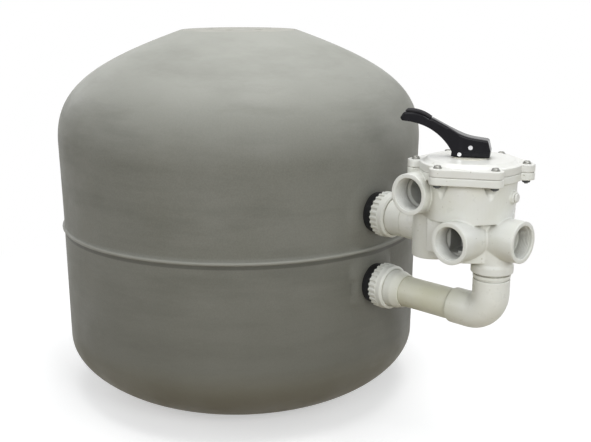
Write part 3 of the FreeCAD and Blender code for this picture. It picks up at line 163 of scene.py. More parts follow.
# The valve's three open ports: middle of the mouth and length of the thread
PUMP_PORT = (0.453, -0.081, 0.431)
RETURN_PORT = (0.527, -0.080, 0.371)
WASTE_PORT = (0.598, 0.0, 0.371)
FRONT_THREAD_LENGTH = 0.030
WASTE_THREAD_LENGTH = 0.024
PORT_BORE = 0.0239
THREAD_PITCH = 0.0023
THREAD_RIDGE = 0.0007
THREAD_BURIED = 0.0003
THREAD_START = 0.003
THREAD_RUNOUT = 0.006
THREAD_CREST_HALF = 0.12
THREAD_STEPS_PER_TURN = 72

# Lamps, floor and camera
WARM_LIGHT = (1.0, 0.99, 0.97)
COOL_LIGHT = (0.98, 0.99, 1.0)
KEY_LIGHT = (0.97, 0.99, 1.0)
FLOOR_HALF = 70.0
FLOOR_FADE = (0.45, 1.1)
CAMERA_PLACE = (1.293, -1.1523, 0.725)
CAMERA_ACROSS = math.radians(134.96)
CAMERA_DOWN = math.radians(13.85)
CAMERA_LENS_MM = 58.25
SENSOR_MM = 36.0

ALONG_X = Matrix.Rotation(math.radians(90), 4, "Y")
ALONG_MINUS_Y = Matrix.Rotation(math.radians(90), 4, "X")


# Node-based finishes

def linear(red, green, blue):
    """A colour given in screen values from 0 to 255, as the shader wants it."""
    values = [v / 255 for v in (red, green, blue)]
    return tuple(v / 12.92 if v <= 0.04045 else ((v + 0.055) / 1.055) ** 2.4 for v in values) + (1.0,)


class Finish:
    """One material, built from the shader up."""

    def __init__(self, name):
        self.material = bpy.data.materials.new(name)
        self.material.use_nodes = True
        self.tree = self.material.node_tree
        self.tree.nodes.clear()
        self.output = self.add("ShaderNodeOutputMaterial")
        self.place = self.add("ShaderNodeTexCoord").outputs["Object"]

    def add(self, kind, **settings):
        """A new node with its settings."""
        node = self.tree.nodes.new(kind)
        for key, value in settings.items():
            setattr(node, key, value)
        return node

    def link(self, source, target):
        self.tree.links.new(source, target)

    def stretched(self, x, y, z):
        """The object's coordinates scaled along each axis."""
        mapping = self.add("ShaderNodeMapping")
        mapping.inputs["Scale"].default_value = (x, y, z)
        self.link(self.place, mapping.inputs["Vector"])
        return mapping.outputs["Vector"]

    def noise(self, scale, detail=3.0, roughness=0.55, place=None):
        """Cloudy noise from 0 to 1."""
        node = self.add("ShaderNodeTexNoise")
        node.inputs["Scale"].default_value = scale
        node.inputs["Detail"].default_value = detail
        node.inputs["Roughness"].default_value = roughness
        self.link(place or self.place, node.inputs["Vector"])
        return node.outputs["Fac"]

    def spread(self, value, low, high, to_low=0.0, to_high=1.0):
        """Map a value's range onto another, held at its ends."""
        node = self.add("ShaderNodeMapRange")
        for key, number in (("From Min", low), ("From Max", high), ("To Min", to_low),
                            ("To Max", to_high)):
            node.inputs[key].default_value = number
        self.link(value, node.inputs["Value"])
        return node.outputs["Result"]

    def mixed(self, factor, first, second, blend="MIX"):
        """One colour over another. Each is a fixed colour or a socket."""
        node = self.add("ShaderNodeMix", data_type="RGBA", blend_type=blend)
        self.link(factor, node.inputs["Factor"])
        for socket, colour in ((node.inputs[6], first), (node.inputs[7], second)):
            if isinstance(colour, tuple):
                socket.default_value = colour
            else:
                self.link(colour, socket)
        return node.outputs[2]

    def along(self, axis):
        """Where a point of the object lies along an axis, in metres."""
        split = self.add("ShaderNodeSeparateXYZ")
        self.link(self.place, split.inputs["Vector"])
        return split.outputs[axis]

    def band(self, height, reach, most):
        """High at one height and 0 away from it."""
        gap = self.add("ShaderNodeMath", operation="SUBTRACT")
        self.link(self.along("Z"), gap.inputs[0])
        gap.inputs[1].default_value = height
        away = self.add("ShaderNodeMath", operation="ABSOLUTE")
        self.link(gap.outputs[0], away.inputs[0])
        return self.spread(away.outputs[0], reach * 0.55, reach * 1.05, most, 0.0)

    def crevices(self, reach, tight=0.35, clear=0.85, most=1.0):
        """A mask for painted shade: high in tight corners, 0 in the open."""
        node = self.add("ShaderNodeAmbientOcclusion", samples=6)
        node.inputs["Distance"].default_value = reach
        return self.spread(node.outputs["AO"], tight, clear, most, 0.0)

    def bump(self, value, distance, below=None):
        """A normal that rises with a value, on top of another bump if one is given."""
        node = self.add("ShaderNodeBump")
        node.inputs["Strength"].default_value = 1.0
        node.inputs["Distance"].default_value = distance
        self.link(value, node.inputs["Height"])
        if below:
            self.link(below, node.inputs["Normal"])
        return node.outputs["Normal"]

    def shader(self, colour, roughness, normal, **constants):
        """Close the material with its surface shader."""
        node = self.add("ShaderNodeBsdfPrincipled")
        for socket, value in (("Base Color", colour), ("Roughness", roughness)):
            self.link(value, node.inputs[socket])
        self.link(normal, node.inputs["Normal"])
        for key, value in constants.items():
            node.inputs[key.replace("_", " ")].default_value = value
        self.link(node.outputs["BSDF"], self.output.inputs["Surface"])
        return self.material


def tank_finish():
    """Rotationally moulded plastic: cloudy grey, satin, with a fine grain and scuffs. Painted light
    brightens its top; a painted highlight runs along the weld bead, with a painted shadow under it; painted
    shade darkens its lower wall and its foot, where a warm floor reflection is painted too.
    """
    f = Finish("tank_plastic_finish")
    clouds = f.spread(f.noise(5.5, 5.0, 0.6), 0.3, 0.7)
    drift = f.spread(f.noise(9.0, 4.0, 0.6, f.stretched(1.0, 1.0, 0.22)), 0.35, 0.65)
    speckle = f.spread(f.noise(420.0, 2.0), 0.38, 0.62)
    colour = f.mixed(clouds, linear(112, 112, 103), linear(125, 125, 118))
    colour = f.mixed(f.spread(drift, 0.0, 1.0, 0.0, 0.35), colour, linear(110, 111, 105))
    colour = f.mixed(f.spread(speckle, 0.0, 1.0, 0.0, 0.10), colour, linear(160, 160, 154))
    # Painted light: the upper part is painted lighter towards the crown, where the lamp above lights it.
    top_painted_light = f.spread(f.along("Z"), 0.46, TANK_CROWN_HEIGHT - 0.03, 0.0, 0.9)
    colour = f.mixed(top_painted_light, colour, linear(162, 163, 156))
    streaks = f.spread(f.noise(4.0, 6.0, 0.62, f.stretched(1.0, 1.0, 5.0)), 0.46, 0.66, 0.0, 0.95)
    colour = f.mixed(streaks, colour, (0.82, 0.82, 0.81, 1.0), "MULTIPLY")
    # Painted shade: the wall is painted darker towards the bottom.
    low = f.spread(f.along("Z"), 0.02, 0.36, 0.75, 0.0)
    colour = f.mixed(low, colour, linear(94, 93, 84))
    # Painted highlight: a lighter band along the weld bead.
    colour = f.mixed(f.band(TANK_SEAM_HEIGHT, BEAD_RADIUS, 0.8), colour, linear(150, 150, 143))
    # Painted shadow: a dark line just under the weld bead.
    grime_and_shade = f.band(TANK_SEAM_HEIGHT - 2 * BEAD_RADIUS, BEAD_RADIUS, 0.6)
    colour = f.mixed(grime_and_shade, colour, linear(62, 61, 55))
    # Painted shade and a painted warm reflection of the floor: darker and browner at the foot.
    foot_painted_shade = f.spread(f.along("Z"), 0.0, 0.13, 0.85, 0.0)
    colour = f.mixed(foot_painted_shade, colour, linear(96, 84, 48))
    scuff = f.spread(f.noise(3.0, 8.0, 0.72, f.stretched(2.2, 2.2, 9.0)), 0.60, 0.72, 0.0, 0.14)
    colour = f.mixed(scuff, colour, linear(152, 152, 146))
    rough = f.spread(f.noise(14.0, 5.0), 0.3, 0.7, 0.50, 0.66)
    normal = f.bump(f.noise(18.0, 3.0), 0.0012)
    normal = f.bump(f.noise(650.0, 2.0), 0.00012, normal)
    return f.shader(colour, rough, normal, Specular_IOR_Level=0.42)


def moulded_finish(name, light, warm, roughness, grime_and_shade=(150, 143, 118), deep=0.0, aged=()):
    """Injection-moulded plastic, slightly uneven in colour and gloss, with dark flecks, and painted shade
    in its corners.

    Deep shades its passages. Aged gives two places along X: below the upper union the plastic is
    yellowed at the first, and no longer at the second.
    """
    f = Finish(name)
    clouds = f.spread(f.noise(22.0, 4.0, 0.6), 0.3, 0.7)
    colour = f.mixed(clouds, linear(*light), linear(*warm))
    fleck = f.spread(f.noise(260.0, 1.0, 0.5), 0.735, 0.78, 0.0, 0.45)
    colour = f.mixed(fleck, colour, linear(*grime_and_shade))
    # Painted shade: tight corners take the darker colour, broken up by noise.
    corner = f.add("ShaderNodeMath", operation="MULTIPLY")
    f.link(f.crevices(0.012), corner.inputs[0])
    f.link(f.spread(f.noise(60.0, 4.0), 0.3, 0.7, 0.15, 0.6), corner.inputs[1])
    colour = f.mixed(corner.outputs[0], colour, linear(*grime_and_shade))
    # Painted shade deep in the passages and bores.
    if deep:
        colour = f.mixed(f.crevices(0.07, 0.03, 0.42, deep), colour, linear(92, 90, 85))
    if aged:
        tint = f.add("ShaderNodeMath", operation="MULTIPLY")
        f.link(f.spread(f.along("X"), *aged, 0.75, 0.0), tint.inputs[0])
        f.link(f.spread(f.along("Z"), 0.29, 0.31, 1.0, 0.0), tint.inputs[1])
        colour = f.mixed(tint.outputs[0], colour, linear(214, 214, 198))
    rough = f.spread(f.noise(40.0, 4.0), 0.3, 0.7, roughness - 0.06, roughness + 0.08)
    normal = f.bump(f.noise(70.0, 2.0), 0.00025)
    normal = f.bump(f.noise(900.0, 1.0), 0.00004, normal)
    return f.shader(colour, rough, normal)


def dark_finish(name, base, lighter, roughness, scratch=0.08, level=0.5):
    """Black or grey moulded plastic or rubber with faint rub marks."""
    f = Finish(name)
    clouds = f.spread(f.noise(30.0, 5.0, 0.65), 0.35, 0.7)
    colour = f.mixed(clouds, linear(*base), linear(*lighter))
    rub = f.spread(f.noise(55.0, 6.0, 0.75, f.stretched(1.0, 0.25, 1.0)), 0.60, 0.75, 0.0, scratch)
    colour = f.mixed(rub, colour, linear(150, 150, 156))
    rough = f.spread(f.noise(80.0, 5.0), 0.3, 0.7, roughness - 0.05, roughness + 0.12)
    normal = f.bump(f.noise(500.0, 2.0), 0.00005)
    return f.shader(colour, rough, normal, Specular_IOR_Level=level)


def metal_finish(name, base, stain, roughness):
    """Machined or drawn metal with fine marks and dull stains."""
    f = Finish(name)
    marks = f.noise(900.0, 3.0, 0.6, f.stretched(1.0, 1.0, 0.12))
    spots = f.spread(f.noise(180.0, 4.0), 0.48, 0.68, 0.0, 0.6)
    colour = f.mixed(spots, linear(*base), linear(*stain))
    rough = f.spread(marks, 0.3, 0.7, roughness - 0.07, roughness + 0.12)
    normal = f.bump(marks, 0.00003)
    return f.shader(colour, rough, normal, Metallic=1.0)


FINISHES = {
    "tank_plastic": tank_finish(),
    "access_lid_plastic": moulded_finish("access_lid_finish", (150, 150, 143), (160, 159, 149), 0.5,
                                         grime_and_shade=(96, 92, 78)),
    "valve_white": moulded_finish("valve_white_finish", (232, 233, 230), (227, 228, 220), 0.32, deep=0.75),
    "valve_lid_white": moulded_finish("valve_lid_finish", (228, 228, 225), (223, 223, 217), 0.36),
    "union_white": moulded_finish("union_white_finish", (230, 232, 228), (223, 224, 217), 0.36,
                                  aged=(0.396, 0.369)),
    "elbow_white": moulded_finish("elbow_white_finish", (236, 237, 232), (231, 232, 224), 0.3,
                                  aged=(0.488, 0.535)),
    "pipe_white": moulded_finish("pipe_white_finish", (216, 216, 202), (208, 207, 186), 0.38),
    "fitting_black": dark_finish("fitting_black_finish", (12, 12, 14), (20, 20, 22), 0.42, level=0.35),
    "handle_plastic": dark_finish("handle_black_finish", (9, 8, 14), (14, 13, 20), 0.14, 0.03, 0.2),
    "grip_plastic": dark_finish("grip_grey_finish", (48, 47, 49), (58, 57, 59), 0.8, 0.10, 0.05),
    "seal_rubber": dark_finish("seal_rubber_finish", (22, 22, 22), (34, 33, 32), 0.68, 0.04, 0.3),
    "rotor_plastic": dark_finish("rotor_black_finish", (34, 34, 36), (44, 44, 46), 0.45),
    "inner_plastic": moulded_finish("inner_plastic_finish", (214, 214, 208), (206, 204, 194), 0.42),
    "wear_washer_plastic": moulded_finish("wear_washer_finish", (222, 220, 210), (212, 210, 198), 0.4),
    "bolt_steel": metal_finish("bolt_steel_finish", (142, 142, 138), (96, 93, 84), 0.34),
    "nut_steel": metal_finish("nut_steel_finish", (74, 75, 74), (48, 47, 44), 0.42),
    "pin_steel": metal_finish("pin_steel_finish", (224, 224, 226), (190, 190, 190), 0.16),
    "spring_steel": metal_finish("spring_steel_finish", (176, 176, 174), (140, 138, 132), 0.26),
}
SLOT_OF = {name: node.data.materials[0].name for name, node in frame["nodes"].items()}


# Meshes

def ring(radius, height, count=96, sides=0):
    """Points of one ring about the Z axis: a circle, or a polygon with that many sides."""
    points = []
    for k in range(count):
        angle = math.tau * k / count
        reach = radius
        if sides:
            part = angle % (math.tau / sides) - math.pi / sides
            reach = radius * math.cos(math.pi / sides) / math.cos(part)
        points.append(Vector((reach * math.cos(angle), reach * math.sin(angle), height)))
    return points


def loft(shape, rings, closed=False):
    """Join rings of equal count with quads. A closed loft joins the last ring to the first, and any
    other gets a cap at each end.
    """
    made = [[shape.verts.new(point) for point in points] for points in rings]
    pairs = list(zip(made, made[1:]))
    if closed:
        pairs.append((made[-1], made[0]))
    for low, high in pairs:
        for k in range(len(low)):
            n = (k + 1) % len(low)
            shape.faces.new((low[k], low[n], high[n], high[k]))
    if not closed:
        shape.faces.new(list(reversed(made[0])))
        shape.faces.new(made[-1])


def turned(points, count, closed=True):
    """A solid turned about Z from points of radius and height. A third value makes a ring a polygon."""
    shape = bmesh.new()
    loft(shape, [ring(radius, height, count, *sides) for radius, height, *sides in points], closed)
    return shape


def piece(name, shape, slot, body, replaces=(), place=None, flat_angle=35.0):
    """Put a bmesh or a mesh in the scene as a finished piece. Bmesh edges above the angle stay sharp."""
    if isinstance(shape, bmesh.types.BMesh):
        mesh = bpy.data.meshes.new(name)
        bmesh.ops.recalc_face_normals(shape, faces=shape.faces)
        limit = math.radians(flat_angle)
        for face in shape.faces:
            face.smooth = True
        for edge in shape.edges:
            edge.smooth = len(edge.link_faces) != 2 or edge.calc_face_angle() < limit
        shape.to_mesh(mesh)
        shape.free()
    else:
        mesh = shape
    if place is not None:
        mesh.transform(place)
    mesh.materials.clear()
    mesh.materials.append(FINISHES[slot])
    thing = bpy.data.objects.new(name, mesh)
    bpy.context.scene.collection.objects.link(thing)
    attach(thing, body)
    if replaces:
        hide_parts(*replaces)
    return thing


def evaluated(thing):
    """The object's mesh with its modifiers applied."""
    graph = bpy.context.evaluated_depsgraph_get()
    return bpy.data.meshes.new_from_object(thing.evaluated_get(graph))


def round_lever_edges(shape, width):
    """Round the lever's upper edges, except round its pins."""
    bmesh.ops.dissolve_limit(shape, angle_limit=LEVER_FLAT_ANGLE, verts=shape.verts, edges=shape.edges)
    across = Vector(LEVER_SIDE)
    pins = []
    for pin in ("pivot_pin", "fulcrum_pin"):
        low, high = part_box(pin)
        pins.append((Vector(low) + Vector(high)) / 2)
    edges = []
    for edge in shape.edges:
        if len(edge.link_faces) != 2 or edge.calc_face_angle() < LEVER_SHARP_ANGLE:
            continue
        if sum(face.normal.z for face in edge.link_faces) < LEVER_LEAST_RISE:
            continue
        middle = (edge.verts[0].co + edge.verts[1].co) / 2
        nearest = min(((middle - pin) - across * across.dot(middle - pin)).length for pin in pins)
        if nearest > LEVER_PIN_CLEARANCE:
            edges.append(edge)
    bmesh.ops.bevel(shape, geom=edges, offset=width, offset_type="OFFSET", segments=LEVER_EDGE_STEPS,
                    profile=0.5, affect="EDGES", clamp_overlap=False)


def moulded(node, voxel, passes, lever_edge=0.0):
    """A copy of a CAD piece with its edges and inside corners rounded as a mould leaves them."""
    mesh = frame["nodes"][node].data.copy()
    welded = bmesh.new()
    welded.from_mesh(mesh)
    bmesh.ops.remove_doubles(welded, verts=welded.verts, dist=WELD_DISTANCE)
    if lever_edge:
        round_lever_edges(welded, lever_edge)
    welded.to_mesh(mesh)
    welded.free()
    work = bpy.data.objects.new("work_" + node, mesh)
    bpy.context.scene.collection.objects.link(work)
    remesh = work.modifiers.new("remesh", "REMESH")
    remesh.mode = "VOXEL"
    remesh.voxel_size = voxel
    soft = work.modifiers.new("soft", "SMOOTH")
    soft.factor = SMOOTH_FACTOR
    soft.iterations = passes
    bpy.context.view_layer.update()
    result = evaluated(work)
    bpy.data.objects.remove(work)
    for polygon in result.polygons:
        polygon.use_smooth = True
    body = frame["nodes"][node]["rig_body"]
    return piece(node + "_moulded", result, SLOT_OF[node], body, (node,))


# Tank

def bezier(points, steps):
    """Points along a cubic curve, without its first."""
    a, b, c, d = [Vector(point) for point in points]
    found = []
    for k in range(1, steps + 1):
        t = k / steps
        s = 1 - t
        found.append(a * s ** 3 + b * 3 * s * s * t + c * 3 * s * t * t + d * t ** 3)
    return [(p[0], p[1]) for p in found]


def straight(start, end, steps):
    """Points along a straight line, without its first."""
    return [(start[0] + (end[0] - start[0]) * k / steps, start[1] + (end[1] - start[1]) * k / steps)
            for k in range(1, steps + 1)]


def bead_arc(way, steps=7):
    """Half the weld bead, from the wall out to its crest, above or below the seam."""
    found = []
    for k in range(1, steps + 1):
        angle = math.pi / 2 * k / steps
        found.append((TANK_SEAM_RADIUS + BEAD_RADIUS * math.sin(angle),
                      TANK_SEAM_HEIGHT + way * BEAD_RADIUS * math.cos(angle)))
    return found


def uneven(shape):
    """The slow waves that a rotational mould leaves in a wall, and a bead that isn't quite even."""
    for vert in shape.verts:
        place = vert.co.copy()
        reach = math.hypot(place.x, place.y)
        if reach < WAVE_CALM_RADIUS or place.z < WAVE_CALM_HEIGHT:
            continue
        near_seam = max(0.0, 1 - abs(place.z - TANK_SEAM_HEIGHT) / BEAD_CALM_REACH)
        to_port = min(abs(place.z - UPPER_PORT), abs(place.z - LOWER_PORT))
        near_port = max(0.0, 1 - math.hypot(place.y, to_port) / PORT_CALM_REACH)
        wave = noise.noise(Vector((place.x * 5.5, place.y * 5.5, place.z * 4.0)))
        wave += 0.5 * noise.noise(Vector((place.x * 13, place.y * 13, place.z * 3 + 7)))
        push = WAVE * wave * (1 - near_seam) * (1 - near_port if place.x > 0 else 1)
        push += near_seam * BEAD_WAVE * noise.noise(Vector((place.x * 45, place.y * 45, 3.0)))
        vert.co.x += push * place.x / reach
        vert.co.y += push * place.y / reach


def working(name, shape):
    """An object to run modifiers on, made from a bmesh."""
    mesh = bpy.data.meshes.new(name)
    bmesh.ops.recalc_face_normals(shape, faces=shape.faces)
    shape.to_mesh(mesh)
    shape.free()
    thing = bpy.data.objects.new(name, mesh)
    bpy.context.scene.collection.objects.link(thing)
    return thing


def bored(shape, height):
    """The wall with a port's hole through it."""
    drill = bmesh.new()
    loft(drill, [ring(PORT_HOLE_RADIUS, reach) for reach in PORT_DRILL])
    drill.transform(Matrix.Translation((PORT_FACE, 0, height)) @ ALONG_X)
    wall, tool = working("work_wall", shape), working("work_drill", drill)
    cut = wall.modifiers.new("cut", "BOOLEAN")
    cut.operation = "DIFFERENCE"
    cut.solver = "EXACT"
    cut.object = tool
    bpy.context.view_layer.update()
    result = bmesh.new()
    result.from_mesh(evaluated(wall))
    for thing in (wall, tool):
        bpy.data.objects.remove(thing)
    return result


def port_boss(shape, height):
    """The wall raised to a flat pad round a port and bored, with a thicker ring inside for the lock nut."""
    for vert in shape.verts:
        off = math.hypot(vert.co.y, vert.co.z - height)
        if vert.co.x < TANK_SEAM_RADIUS - TANK_WALL / 2 or off > PORT_BLEND_RADIUS:
            continue
        share = min(1.0, (PORT_BLEND_RADIUS - off) / (PORT_BLEND_RADIUS - PORT_PAD_RADIUS))
        share = share * share * (3 - 2 * share)
        vert.co.x += (PORT_FACE - PORT_PAD_BACK - vert.co.x) * share
    shape = bored(shape, height)
    start = len(shape.verts)
    loft(shape, [ring(radius, z) for radius, z in PORT_RING], closed=True)
    shape.verts.ensure_lookup_table()
    place = Matrix.Translation((PORT_FACE, 0, height)) @ ALONG_X
    for vert in shape.verts[start:]:
        vert.co = place @ vert.co
    return shape


def tank_half(name, profile, height, node):
    """One half of the tank, from the profile of its wall and the height of its port."""
    shape = turned(profile, TANK_STEPS_ROUND)
    uneven(shape)
    return piece(name, port_boss(shape, height), "tank_plastic", "filter", (node,), flat_angle=50)


def tank():
    """Both halves. Each profile runs along the outside of the wall and back along its inside."""
    core, base, rise, low = TANK_CORE_RADIUS, TANK_BASE_RADIUS, TANK_CORNER_RISE, TANK_LOW_RADIUS
    pull = TANK_CORNER_PULL
    seam, height, wall = TANK_SEAM_RADIUS, TANK_SEAM_HEIGHT, TANK_WALL
    lower = [(core, 0.0), (base, 0.0)]
    corner = [(base, 0), (base + (low - base) * pull, 0), (low, rise - rise * pull), (low, rise)]
    lower += bezier(corner, 34)
    lower += straight((low, rise), (seam, height - BEAD_RADIUS - 0.0012), 46)
    lower += [(seam + 0.0002, height - BEAD_RADIUS - 0.0004)] + bead_arc(-1)
    lower += [(seam - wall, height), (low - wall, rise), (base, wall), (core, wall)]
    tank_half("tank_lower_half", lower, LOWER_PORT, "tank_lower_shell")
    crown, top, high = TANK_CROWN_RADIUS, TANK_CROWN_HEIGHT, TANK_HIGH_RADIUS
    shoulder = TANK_SHOULDER_HEIGHT
    seat = top - TANK_SEAT_DEPTH
    upper = list(reversed(bead_arc(1))) + [(seam + 0.0002, height + BEAD_RADIUS + 0.0004)]
    upper += straight((seam, height + BEAD_RADIUS + 0.0012), (high, shoulder), 36)
    run = (crown + math.cos(TANK_CROWN_SLOPE) * TANK_CROWN_PULL,
           top - math.sin(TANK_CROWN_SLOPE) * TANK_CROWN_PULL)
    curve = bezier([(high, shoulder), (high, shoulder + TANK_SHOULDER_PULL), run, (crown, top)], 60)
    upper += curve[:-1]
    mouth, mouth_end = TANK_MOUTH_RADIUS, seat - TANK_MOUTH_DEPTH
    upper += [(crown + 0.0006, top - 0.0003), (crown - 0.0004, top), (crown - TANK_LIP + 0.0008, top),
              (crown - TANK_LIP, top - 0.0008), (crown - TANK_LIP, seat), (mouth, seat),
              (mouth, mouth_end), (mouth + TANK_MOUTH_WALL, mouth_end), (crown, seat - wall),
              (high - wall, shoulder + 0.03), (high - wall, shoulder), (seam - wall, height)]
    tank_half("tank_upper_half", upper, UPPER_PORT, "tank_upper_shell")


tank()


# Valve, unions and elbow

for node, how in MOULDED.items():
    moulded(node, *how)


def thread(name, place, depth):
    """The internal thread of a port: one helical ridge that fades out at both ends."""
    shape = bmesh.new()
    count, pitch = THREAD_STEPS_PER_TURN, THREAD_PITCH
    turns = (depth - THREAD_RUNOUT) / pitch
    total = int(turns * count)
    rows = []
    for k in range(total + 1):
        angle = math.tau * k / count
        ridge = THREAD_RIDGE * min(1.0, k / count, (total - k) / count)
        z = -THREAD_START - k / count * pitch
        row = []
        for offset, rise in ((-0.5, -THREAD_BURIED), (-THREAD_CREST_HALF, ridge),
                             (THREAD_CREST_HALF, ridge), (0.5, -THREAD_BURIED)):
            reach = PORT_BORE - rise
            point = (reach * math.cos(angle), reach * math.sin(angle), z + offset * pitch)
            row.append(shape.verts.new(point))
        rows.append(row)
    for a, b in zip(rows, rows[1:]):
        for k in range(4):
            n = (k + 1) % 4
            shape.faces.new((a[k], a[n], b[n], b[k]))
    shape.faces.new(rows[0])
    shape.faces.new(list(reversed(rows[-1])))
    return piece(name, shape, "valve_white", "filter", (), place)


thread("pump_port_thread", Matrix.Translation(PUMP_PORT) @ ALONG_MINUS_Y, FRONT_THREAD_LENGTH)
thread("return_port_thread", Matrix.Translation(RETURN_PORT) @ ALONG_MINUS_Y, FRONT_THREAD_LENGTH)
thread("waste_port_thread", Matrix.Translation(WASTE_PORT) @ ALONG_X, WASTE_THREAD_LENGTH)


def spread_round(shape):
    """A copy of a shape at each place of the valve's bolt circle."""
    whole = bmesh.new()
    for k in range(BOLT_COUNT):
        turn = Matrix.Rotation(math.radians(FIRST_BOLT_DEGREES + 360 / BOLT_COUNT * k), 4, "Z")
        place = Matrix.Translation((VALVE_X, 0, 0)) @ turn @ Matrix.Translation((BOLT_CIRCLE, 0, 0))
        mesh = bpy.data.meshes.new("part")
        shape.to_mesh(mesh)
        mesh.transform(place)
        whole.from_mesh(mesh)
        bpy.data.meshes.remove(mesh)
    shape.free()
    return whole


def lid_bolts():
    """Pan-headed screws with a hexagon socket, and a threaded end below the nut."""
    low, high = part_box("lid_bolts")
    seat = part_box("lid_washers")[1].z
    shank, head, socket = SHANK_RADIUS, HEAD_RADIUS, SOCKET_RADIUS
    points = [(shank - 0.0009, low.z), (shank - 0.0002, low.z + 0.0006)]
    height = low.z + 0.0012
    for k in range(BOLT_TURNS):
        points += [(shank - 0.0004, height + k * BOLT_PITCH), (shank, height + (k + 0.5) * BOLT_PITCH)]
    points += [(shank, seat), (head, seat), (head, seat + 0.0011), (head - 0.0003, seat + 0.0018),
               (head - 0.0009, high.z - 0.0003), (head - 0.0015, high.z), (0.0028, high.z, HEXAGON),
               (socket, high.z - 0.0004, HEXAGON), (socket, high.z - 0.0019, HEXAGON),
               (0.0004, high.z - 0.0023)]
    shape = spread_round(turned(points, BOLT_STEPS_ROUND, closed=False))
    piece("lid_bolts_detailed", shape, "bolt_steel", "filter", ("lid_bolts",), flat_angle=38)


def lid_nuts():
    """Hexagon nuts with chamfered corners."""
    low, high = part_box("lid_nuts")
    hole, radius = BOLT_HOLE_RADIUS, NUT_HALF_WIDTH / math.cos(math.radians(30))
    points = [(hole, low.z), (radius * 0.87, low.z), (radius, low.z + 0.0007, HEXAGON),
              (radius, high.z - 0.0003, HEXAGON), (radius * 0.97, high.z, HEXAGON), (hole, high.z)]
    shape = spread_round(turned(points, BOLT_STEPS_ROUND))
    piece("lid_nuts_detailed", shape, "nut_steel", "filter", ("lid_nuts",), flat_angle=38)


def lid_washers():
    """Flat washers with broken upper edges."""
    low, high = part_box("lid_washers")
    hole, rim, edge = BOLT_HOLE_RADIUS, WASHER_RADIUS, 0.0003
    points = [(hole, low.z), (rim, low.z), (rim, high.z - edge), (rim - edge, high.z),
              (hole + edge, high.z), (hole, high.z - edge)]
    shape = spread_round(turned(points, WASHER_STEPS_ROUND))
    piece("lid_washers_detailed", shape, "bolt_steel", "filter", ("lid_washers",))


def coil_spring():
    """The coil, wound evenly between the spring's ends; it rides with the selector ring and keeps its
    length.
    """
    heights = [vert.co.z for vert in frame["nodes"]["spring"].data.vertices]
    low, high = min(heights), max(heights)
    rise = high - low - 2 * SPRING_WIRE
    steps = SPRING_TURNS * SPRING_STEPS_PER_TURN
    section = ring(SPRING_WIRE, 0, WIRE_STEPS_ROUND)
    rings = []
    for k in range(steps + 1):
        turn = Matrix.Rotation(math.tau * k / SPRING_STEPS_PER_TURN, 4, "Z")
        height = low + SPRING_WIRE + rise * k / steps
        rings.append([turn @ Vector((SPRING_RADIUS + point.x, 0, height + point.y)) for point in section])
    shape = bmesh.new()
    loft(shape, rings)
    place = Matrix.Translation((VALVE_X, 0, 0))
    coil = piece("coil_spring", shape, "spring_steel", "selector_ring", ("spring",), place)
    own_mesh(coil)


lid_bolts()
lid_nuts()
lid_washers()
coil_spring()

# The solids that stay as they are get their finish
for name, node in frame["nodes"].items():
    if name in SLOT_OF and not node.hide_render:
        for slot in node.material_slots:
            slot.material = FINISHES[SLOT_OF[name]]


# Floor, light and camera

def seen_directly(tree):
    """1 for camera, glossy and transmission rays, 0 for the rest."""
    path = tree.nodes.new("ShaderNodeLightPath")
    total = path.outputs["Is Camera Ray"]
    for name in ("Is Glossy Ray", "Is Transmission Ray"):
        most = tree.nodes.new("ShaderNodeMath")
        most.operation = "MAXIMUM"
        tree.links.new(total, most.inputs[0])
        tree.links.new(path.outputs[name], most.inputs[1])
        total = most.outputs[0]
    return total


def set_world():
    """A soft pale sky for the light, and plain white where it is seen."""
    world = bpy.data.worlds.new("studio")
    bpy.context.scene.world = world
    world.use_nodes = True
    tree = world.node_tree
    tree.nodes.clear()
    output = tree.nodes.new("ShaderNodeOutputWorld")
    soft = tree.nodes.new("ShaderNodeBackground")
    soft.inputs["Color"].default_value = (0.93, 0.96, 1.0, 1.0)
    soft.inputs["Strength"].default_value = 0.35
    white = tree.nodes.new("ShaderNodeBackground")
    white.inputs["Color"].default_value = (1.0, 1.0, 1.0, 1.0)
    white.inputs["Strength"].default_value = 1.0
    mix = tree.nodes.new("ShaderNodeMixShader")
    tree.links.new(seen_directly(tree), mix.inputs["Fac"])
    tree.links.new(soft.outputs[0], mix.inputs[1])
    tree.links.new(white.outputs[0], mix.inputs[2])
    tree.links.new(mix.outputs[0], output.inputs["Surface"])


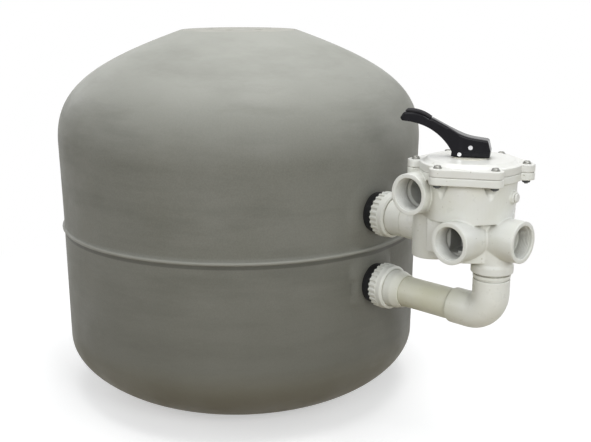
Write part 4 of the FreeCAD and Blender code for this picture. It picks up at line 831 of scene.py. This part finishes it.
def floor():
    """A pale floor that is white to the camera away from the object and keeps its shadow.

    To the light it is darker and warmer, so that what it throws up stays low.
    """
    half = FLOOR_HALF
    corners = [(-half, -half, 0), (half, -half, 0), (half, half, 0), (-half, half, 0)]
    mesh = bpy.data.meshes.new("floor")
    mesh.from_pydata(corners, [], [(0, 1, 2, 3)])
    thing = bpy.data.objects.new("floor", mesh)
    bpy.context.scene.collection.objects.link(thing)
    paint = bpy.data.materials.new("floor_pale")
    paint.use_nodes = True
    tree = paint.node_tree
    tree.nodes.clear()
    nodes, links = tree.nodes, tree.links
    output = nodes.new("ShaderNodeOutputMaterial")
    ground = nodes.new("ShaderNodeBsdfDiffuse")
    ground.inputs["Color"].default_value = linear(132, 119, 88)
    pale = nodes.new("ShaderNodeBsdfDiffuse")
    pale.inputs["Color"].default_value = (0.80, 0.80, 0.80, 1.0)
    glow = nodes.new("ShaderNodeEmission")
    glow.inputs["Strength"].default_value = 0.42
    lit = nodes.new("ShaderNodeAddShader")
    links.new(pale.outputs[0], lit.inputs[0])
    links.new(glow.outputs[0], lit.inputs[1])
    white = nodes.new("ShaderNodeEmission")
    white.inputs["Strength"].default_value = 1.0
    place = nodes.new("ShaderNodeTexCoord")
    length = nodes.new("ShaderNodeVectorMath")
    length.operation = "LENGTH"
    links.new(place.outputs["Object"], length.inputs[0])
    away = nodes.new("ShaderNodeMapRange")
    away.interpolation_type = "SMOOTHSTEP"
    away.inputs["From Min"].default_value, away.inputs["From Max"].default_value = FLOOR_FADE
    links.new(length.outputs["Value"], away.inputs["Value"])
    seen = nodes.new("ShaderNodeMixShader")
    links.new(away.outputs["Result"], seen.inputs["Fac"])
    links.new(lit.outputs[0], seen.inputs[1])
    links.new(white.outputs[0], seen.inputs[2])
    mix = nodes.new("ShaderNodeMixShader")
    links.new(seen_directly(tree), mix.inputs["Fac"])
    links.new(ground.outputs[0], mix.inputs[1])
    links.new(seen.outputs[0], mix.inputs[2])
    links.new(mix.outputs[0], output.inputs["Surface"])
    mesh.materials.append(paint)


def lamp(name, place, target, width, power, colour):
    """A square area lamp that faces its target."""
    data = bpy.data.lights.new(name, "AREA")
    data.shape = "SQUARE"
    data.size = width
    data.energy = power
    data.color = colour
    thing = bpy.data.objects.new(name, data)
    thing.location = place
    thing.rotation_euler = (Vector(target) - Vector(place)).to_track_quat("-Z", "Y").to_euler()
    bpy.context.scene.collection.objects.link(thing)


def camera():
    """The photograph's view."""
    data = bpy.data.cameras.new("photo_camera")
    data.lens = CAMERA_LENS_MM
    data.sensor_width = SENSOR_MM
    data.clip_end = 200.0
    thing = bpy.data.objects.new("photo_camera", data)
    thing.location = CAMERA_PLACE
    across, down = CAMERA_ACROSS, CAMERA_DOWN
    look = Vector((math.cos(across) * math.cos(down), math.sin(across) * math.cos(down), -math.sin(down)))
    thing.rotation_euler = look.to_track_quat("-Z", "Y").to_euler()
    bpy.context.scene.collection.objects.link(thing)
    bpy.context.scene.camera = thing


set_world()
floor()
lamp("overhead", (0.1, 0.1, 2.6), (0.1, 0.05, 0.4), 1.9, 37, WARM_LIGHT)
lamp("front_fill", (1.7, -2.5, 1.3), (0.2, 0, 0.35), 1.5, 21, COOL_LIGHT)
lamp("left_fill", (-1.2, -2.3, 1.2), (0.0, 0, 0.3), 1.3, 9, COOL_LIGHT)
lamp("rear_fill", (-2.8, 0.2, 1.2), (0, 0, 0.3), 1.2, 9, COOL_LIGHT)
lamp("far_fill", (1.2, 2.7, 1.2), (0.1, 0, 0.3), 1.2, 8, COOL_LIGHT)
lamp("side_key", (2.5, -0.9, 1.3), (0.5, 0, 0.35), 0.9, 20, KEY_LIGHT)
camera()
bpy.context.scene.view_settings.view_transform = "Standard"
